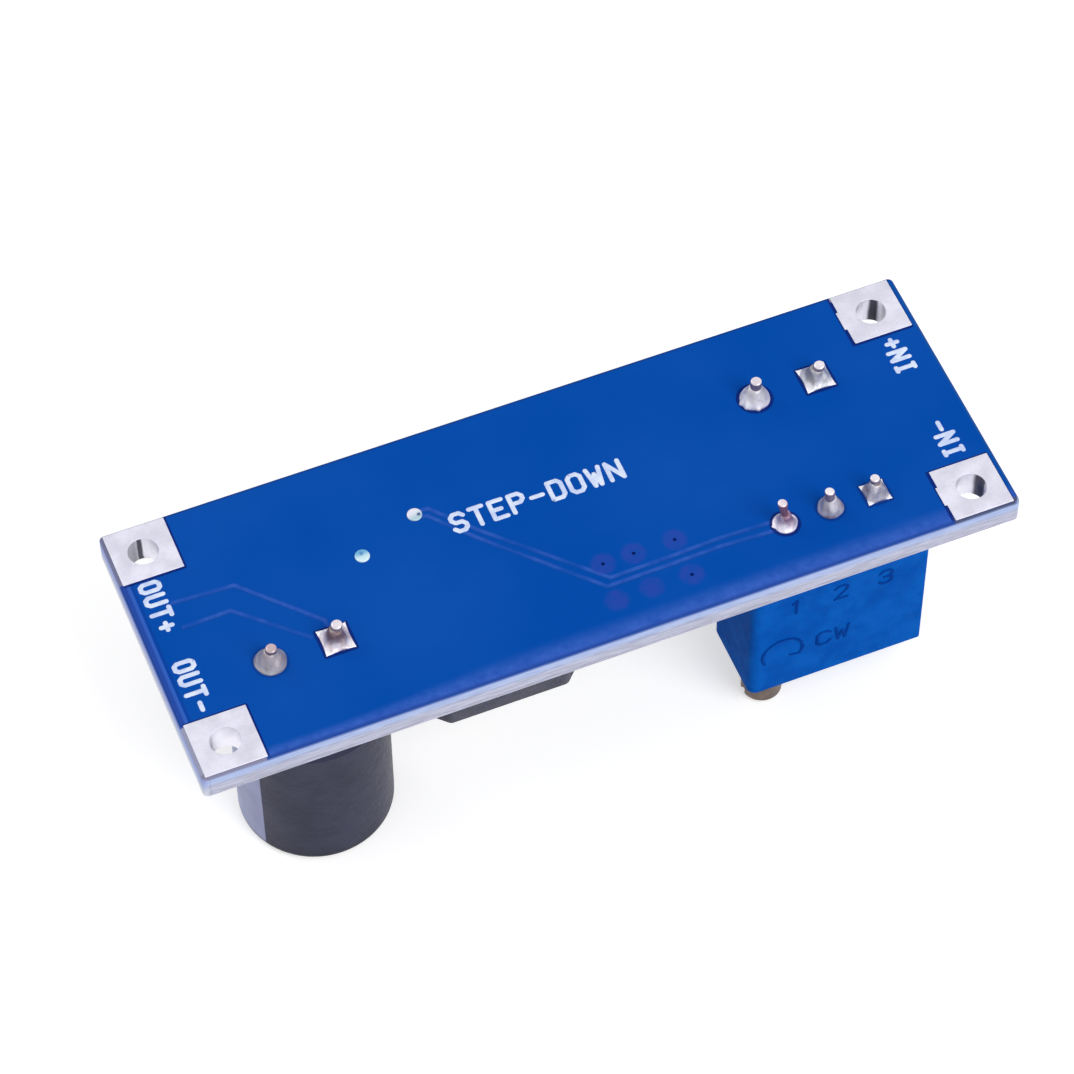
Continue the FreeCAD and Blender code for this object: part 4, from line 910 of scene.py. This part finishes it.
for seed, (joint, square) in enumerate(JOINTS.items()):
    piece = new_piece(joint + "_joint", joint_skin(joint, square, seed * JOINT_SEED), make_solder_finish(joint))
    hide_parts(joint + "_solder")


# Leads and pins
# Tinned copper wire, cropped after soldering, so the blunt tips show bright cut metal with a pink cast.
# The cutters have pushed each one a little out of upright where it stands clear of its solder.

WIRE_SEGMENTS = 24
WIRE_LOOPS = 10
TIP_ROUND = 0.1
FLARE_START = 0.62
FLARE_END = 0.85
LEANS = {
    "output_capacitor_negative": (0.1, 0.01),
    "output_capacitor_positive": (0.14, 0.12),
    "input_capacitor_negative": (0.06, 0.04),
    "input_capacitor_positive": (0.17, 0.0),
    "trimmer_first": (-0.2, 0.07),
    "trimmer_second": (-0.13, -0.02),
    "trimmer_third": (-0.04, 0.13),
}
LEAN_CURVE = 1.3
PLAIN_WAIST = 0.96
# Tip shades, then side shades, which are painted shade and reflection and, on the fluxed wire, flux stain.
WIRE_TONES = {
    "plain": ((214, 204, 214), (246, 240, 246), (124, 110, 122), (178, 166, 178)),
    "fluxed": ((214, 198, 210), (250, 242, 248), (122, 76, 92), (172, 132, 146)),
    "dim": ((190, 168, 174), (216, 196, 202), (112, 100, 110), (150, 138, 148)),
}
WIRE_HABITS = {"trimmer_first": ("fluxed", 0.74), "output_capacitor_negative": ("dim", 0.92)}


def make_wire_finish(name, tip_dull, tip_bright, side_dark, side_light):
    """Bright cut tips on wire whose sides are painted darker: painted shade and reflection, and on the fluxed wire a
    stain of flux.
    """
    material = make_tin_finish(name + "_wire", tip_dull, tip_bright, (0.26, 0.4), 0.006, 0.5)
    tree, shader = inside(material)
    stain_and_shade = mixed(noise(place_in_mm(tree), 2.2, 2.0), side_dark, side_light)
    paint_over(shader, faded(facing_up(tree), 0.2, 0.75), stain_and_shade)
    return material


WIRES = {name: make_wire_finish(name, *shades) for name, shades in WIRE_TONES.items()}


def cropped_wire(node_name, lean, waist):
    """An upright wire that leans above the board, drawn in below its softly cropped tip."""
    middle = node_middle(node_name)
    radius = half_size(node_name, 0)
    shape = bmesh.new()
    bmesh.ops.create_cone(shape, cap_ends=True, segments=WIRE_SEGMENTS, radius1=radius, radius2=radius,
                          depth=half_size(node_name, 2) * 2, matrix=Matrix.Translation(middle))
    brim = [edge for edge in shape.edges if all(vertex.co.z > middle.z for vertex in edge.verts)]
    round_over(shape, brim, TIP_ROUND, 4)
    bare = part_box(node_name)[1].z - BOARD_TOP
    for loop in range(WIRE_LOOPS):
        level_z = BOARD_TOP + bare * loop / WIRE_LOOPS
        bmesh.ops.bisect_plane(shape, geom=shape.verts[:] + shape.edges[:] + shape.faces[:],
                               plane_co=(0, 0, level_z), plane_no=(0, 0, 1))
    for vertex in shape.verts:
        share = max(vertex.co.z - BOARD_TOP, 0.0) / bare
        flare = min(max((share - FLARE_START) / (FLARE_END - FLARE_START), 0.0), 1.0)
        narrow = 1.0 if share == 0.0 else waist + (1.0 - waist) * flare
        for axis in (0, 1):
            vertex.co[axis] = (middle[axis] + (vertex.co[axis] - middle[axis]) * narrow
                               + lean[axis] * MM * share ** LEAN_CURVE)
    bmesh.ops.recalc_face_normals(shape, faces=shape.faces)
    return shape


for joint in JOINTS:
    node_name = pin_node(joint)
    tone, waist = WIRE_HABITS.get(joint, ("plain", PLAIN_WAIST))
    piece = new_piece(node_name + "_wire", cropped_wire(node_name, LEANS[joint], waist), WIRES[tone])
    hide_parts(node_name)


# Electrolytic capacitors
# Aluminium cans, each drawn over a rubber bung and dressed in a shrunk dark sleeve with a pale stripe
# on the side of the negative lead. The can's end shows inside the sleeve's lip, scored to vent.

STRIPE_HALF_ANGLE = 30.5
SHADED_RIM = 0.9
SLEEVE_SHOULDER = (3.45, 3.65)


def make_sleeve_finish(name, node_name):
    """Dark shrunk film with a pale stripe that faces the output end."""
    material, tree, shader = new_material(name, Specular_IOR_Level=0.1)
    place = place_from(tree, node_name)
    east, north, upright = axes(place)
    angle = maths("ARCTAN2", north, times(east, -1.0))
    off_stripe = times(size_of(angle), 180.0 / math.pi)
    stripe = faded(off_stripe, STRIPE_HALF_ANGLE - 0.5, STRIPE_HALF_ANGLE + 0.5)
    reach = vector_maths("LENGTH", level_part(place))
    side = ramped(reach, *SLEEVE_SHOULDER)
    spots, specks = use_group(tree, MOTTLING, Spots=0.5, Specks=5.0)
    pale = mixed(spots, (148, 153, 188), (160, 166, 202))
    film = layered(mixed(spots, (50, 51, 70), (58, 59, 80)), (times(stripe, side), pale),
                   (faded(upright, SHADED_RIM * 0.4, SHADED_RIM, 0.6), (30, 30, 42)))
    lay_skin(shader, film, ramped(specks, 0.0, 1.0, 0.34, 0.46), spots, 0.02)
    return material


CAN = make_finish("drawn_aluminium", (196, 197, 202), (222, 223, 228), (0.28, 0.42), 0.8, 12.0, 0.006,
                  (0.05, 1.2, (245, 245, 248)), metallic=1.0)
RUBBER = make_finish("black_rubber", (26, 26, 28), (44, 44, 48), (0.65, 0.85), 1.2, 10.0, 0.015,
                     Specular_IOR_Level=0.3)
for capacitor in ("output_capacitor", "input_capacitor"):
    dress(make_sleeve_finish(capacitor + "_film", capacitor + "_sleeve"), capacitor + "_sleeve")
    dress(CAN, capacitor + "_can")
    dress(RUBBER, capacitor + "_bung")


# Power inductor
# A ferrite drum wound with enamelled wire inside a square ferrite ring with cut corners, glued to a
# black moulded base that carries two tinned clips.

WIRE_PITCH = 0.42


def make_winding_finish(node_name):
    """Turns of enamelled copper wire lying side by side, with painted shade in the grooves between them."""
    material, tree, shader = new_material("enamelled_wire", metallic=0.9, Coat_Weight=0.6, Coat_Roughness=0.12)
    upright = axes(place_from(tree, node_name))[2]
    turns = maths("SINE", times(upright, 2 * math.pi / WIRE_PITCH))
    spots, specks = use_group(tree, MOTTLING, Spots=1.5, Specks=6.0)
    wire = mixed(spots, (164, 78, 38), (206, 118, 66))
    painted_groove_shade = faded(turns, -1.0, -0.4)
    lay_skin(shader, mixed(painted_groove_shade, wire, (52, 20, 10)), ramped(specks, 0.0, 1.0, 0.22, 0.36), turns, 0.06)
    return material


def make_moulding_finish(name, dark, light, pits=0.012, shine=0.35):
    """Moulded plastic with the fine grain of an etched tool and rubbed edges."""
    rubbed = tuple(min(shade * 1.8 + 0.02, 1.0) for shade in colour(*light)[:3]) + (1.0,)
    return make_finish(name, dark, light, (0.42, 0.6), 0.7, 14.0, pits, (0.05, 1.6, rubbed), Specular_IOR_Level=shine)


# The pale colour on the ferrite's rounded edges is a painted highlight, laid through the worn-edge mask.
FERRITE = make_finish("ferrite", (66, 67, 82), (88, 89, 104), (0.5, 0.7), 0.9, 8.0, 0.02,
                      (0.3, 1.2, (122, 123, 134)), "Specks", "Spots", ior=1.6, Specular_IOR_Level=0.2)
CLIP_TIN = make_tin_finish("clip_tin", (176, 176, 182), (216, 216, 222), (0.25, 0.38), 0.008, 0.9)
dress(FERRITE, "inductor_shield", "inductor_core")
dress(make_winding_finish("inductor_winding"), "inductor_winding")
dress(make_moulding_finish("black_base", (20, 20, 22), (32, 32, 35)), "inductor_base")
dress(CLIP_TIN, "inductor_output_clip", "inductor_switch_clip")


# Regulator
# A black moulded power package on a tinned copper tab, with its leads bent down to the board.

EPOXY = make_moulding_finish("black_epoxy", (22, 22, 24), (36, 36, 40))
dress(EPOXY, "regulator_body")
dress(CLIP_TIN, "regulator_tab", *(f"regulator_lead_{number}" for number in (1, 2, 4, 5)))


# Diode
# A small black moulded rectifier with a folded tinned clip at each end and a pale cathode band.

BAND_WIDTH = 0.55
BAND_INSET = 0.4


def make_diode_finish():
    """Black epoxy with a pale printed band at the cathode end."""
    material = make_moulding_finish("diode_epoxy", (22, 22, 24), (36, 36, 40))
    tree, shader = inside(material)
    end_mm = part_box("diode_body")[1].x / MM
    from_end = axes(place_in_mm(tree, (end_mm, 0.0, 0.0)))[0]
    band = times(ramped(from_end, -BAND_INSET - 0.05 - BAND_WIDTH, -BAND_INSET - BAND_WIDTH),
                 faded(from_end, -BAND_INSET, -BAND_INSET + 0.05))
    paint_over(shader, band, (200, 200, 204))
    return material


dress(make_diode_finish(), "diode_body")
dress(CLIP_TIN, "diode_anode_clip", "diode_cathode_clip")


# Chip capacitors and resistors
# Small fired ceramic blocks with a tinned cap at each end: tan capacitors, and resistors of white
# alumina under a black glaze.

CHIP_CAP_LENGTH = 0.4


def make_chip_finish(node_name, dark, light, axis):
    """A ceramic body between two tinned ends, which lie along an axis."""
    material, tree, shader = new_material(node_name + "_finish")
    reach = size_of(axes(place_from(tree, node_name))[axis])
    uneven = times(noise(place_in_mm(tree), 2.0), 0.08)
    cap_start = half_size(node_name, axis) / MM - CHIP_CAP_LENGTH
    capped = ramped(plus(reach, uneven), cap_start, cap_start + 0.04)
    spots, specks = use_group(tree, MOTTLING, Spots=2.0, Specks=14.0)
    edges = use_group(tree, WORN_EDGES, Radius=0.06 * MM, Gain=1.4)
    skin = mixed(capped, mixed(spots, dark, light), mixed(specks, (176, 176, 182), (216, 216, 222)))
    feed(shader.inputs["Metallic"], times(capped, 0.85))
    lay_skin(shader, skin, ramped(specks, 0.0, 1.0, 0.3, 0.45), specks, 0.01, edges["Normal"])
    return material


TAN = ((150, 112, 78), (172, 134, 96))
BLACK_GLAZE = ((20, 20, 22), (38, 38, 42))
for node_name, body_colours, axis in (
        ("input_chip_capacitor", TAN, 1),
        ("output_chip_capacitor", TAN, 0),
        ("bypass_chip_capacitor", TAN, 1),
        ("feedback_resistor", BLACK_GLAZE, 1),
        ("divider_resistor", BLACK_GLAZE, 0)):
    dress(make_chip_finish(node_name, *body_colours, axis), node_name)


# Trimmer
# A blue moulded housing, open below, with a brass worm screw through its end, a nylon wiper wheel on a
# boss, a spring wiper on a white ceramic element, and a cast blue seal round the three pins.

MARK_STROKE = 0.2
MARK_PROUD = 0.04
PIN_FIGURES = {"trimmer_first_pin": "1", "trimmer_second_pin": "2", "trimmer_third_pin": "3"}
FIGURE_SIZE = (0.7, 1.1)
FIGURE_DROP = 3.9
ARROW_RADIUS = 1.15
ARROW_ASIDE = 0.5
ARROW_DROP = 7.2
ARROW_START = 210.0
ARROW_SWEEP = 240.0
ARROW_STEPS = 14
ARROW_BARBS = ((-0.5, 0.12, 0.0), (0.22, 0.5, 0.0))
TURN_PLACE = (2.0, -0.5, 0.0)
TURN_SIZE = (0.75, 1.1)
TURN_PITCH = 1.05

dress(make_moulding_finish("blue_moulding", (2, 86, 184), (8, 100, 200), 0.02, 0.01), "trimmer_housing")


def make_brass_finish(name, dull, bright, roughness):
    """Turned brass gone brown with handling."""
    return make_finish(name, dull, bright, roughness, 1.4, 10.0, 0.008, (0.04, 2.0, (214, 178, 132)), metallic=1.0)


housing_low, housing_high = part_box("trimmer_housing")
face_shape = bmesh.new()
face_turn = Matrix.Translation((0.0, housing_low.y, 0.0)) @ Matrix.Rotation(math.radians(90.0), 4, "X")
for node_name, figure in PIN_FIGURES.items():
    pin_middle = node_middle(node_name)
    corner = Vector((pin_middle.x - FIGURE_SIZE[0] * MM / 2, housing_high.z - FIGURE_DROP * MM, 0.0))
    add_word(face_shape, figure, corner, Vector(FIGURE_SIZE) * MM, 0.0, MARK_STROKE * MM, MARK_PROUD * MM,
             **LEVEL_LABELS)
screw_middle = node_middle("trimmer_screw")
arrow_middle = Vector((screw_middle.x + ARROW_ASIDE * MM, housing_high.z - ARROW_DROP * MM, 0.0))
turns = [math.radians(ARROW_START - ARROW_SWEEP * step / ARROW_STEPS) for step in range(ARROW_STEPS + 1)]
turn_points = [arrow_middle + Vector((math.cos(turn), math.sin(turn), 0.0)) * ARROW_RADIUS * MM for turn in turns]
barbs = [turn_points[-1] + Vector(barb) * MM for barb in ARROW_BARBS]
for line in (turn_points, [barbs[0], turn_points[-1], barbs[1]]):
    add_stroke(face_shape, line, MARK_STROKE * MM / 2, MARK_PROUD * MM)
add_word(face_shape, "CW", arrow_middle + Vector(TURN_PLACE) * MM, Vector(TURN_SIZE) * MM, TURN_PITCH * MM,
         MARK_STROKE * MM, MARK_PROUD * MM, **LEVEL_LABELS)
bmesh.ops.transform(face_shape, verts=face_shape.verts, matrix=face_turn)
new_piece("trimmer_face_marks", face_shape,
          make_moulding_finish("raised_marks", (0, 58, 146), (2, 68, 158), 0.01, 0.01))
dress(make_brass_finish("dull_brass", (98, 88, 84), (126, 110, 100), (0.38, 0.52)), "trimmer_screw")
dress(make_brass_finish("spring_brass", (180, 150, 96), (214, 186, 130), (0.25, 0.4)), "trimmer_wiper")
dress(make_moulding_finish("nylon", (214, 212, 200), (232, 230, 220)), "trimmer_wheel")
dress(make_moulding_finish("alumina", (228, 228, 224), (242, 242, 240), 0.02), "trimmer_element")
dress(make_moulding_finish("cast_resin", (20, 70, 160), (30, 84, 176)), "trimmer_base_seal")
dress(RUBBER, "trimmer_seal_ring")
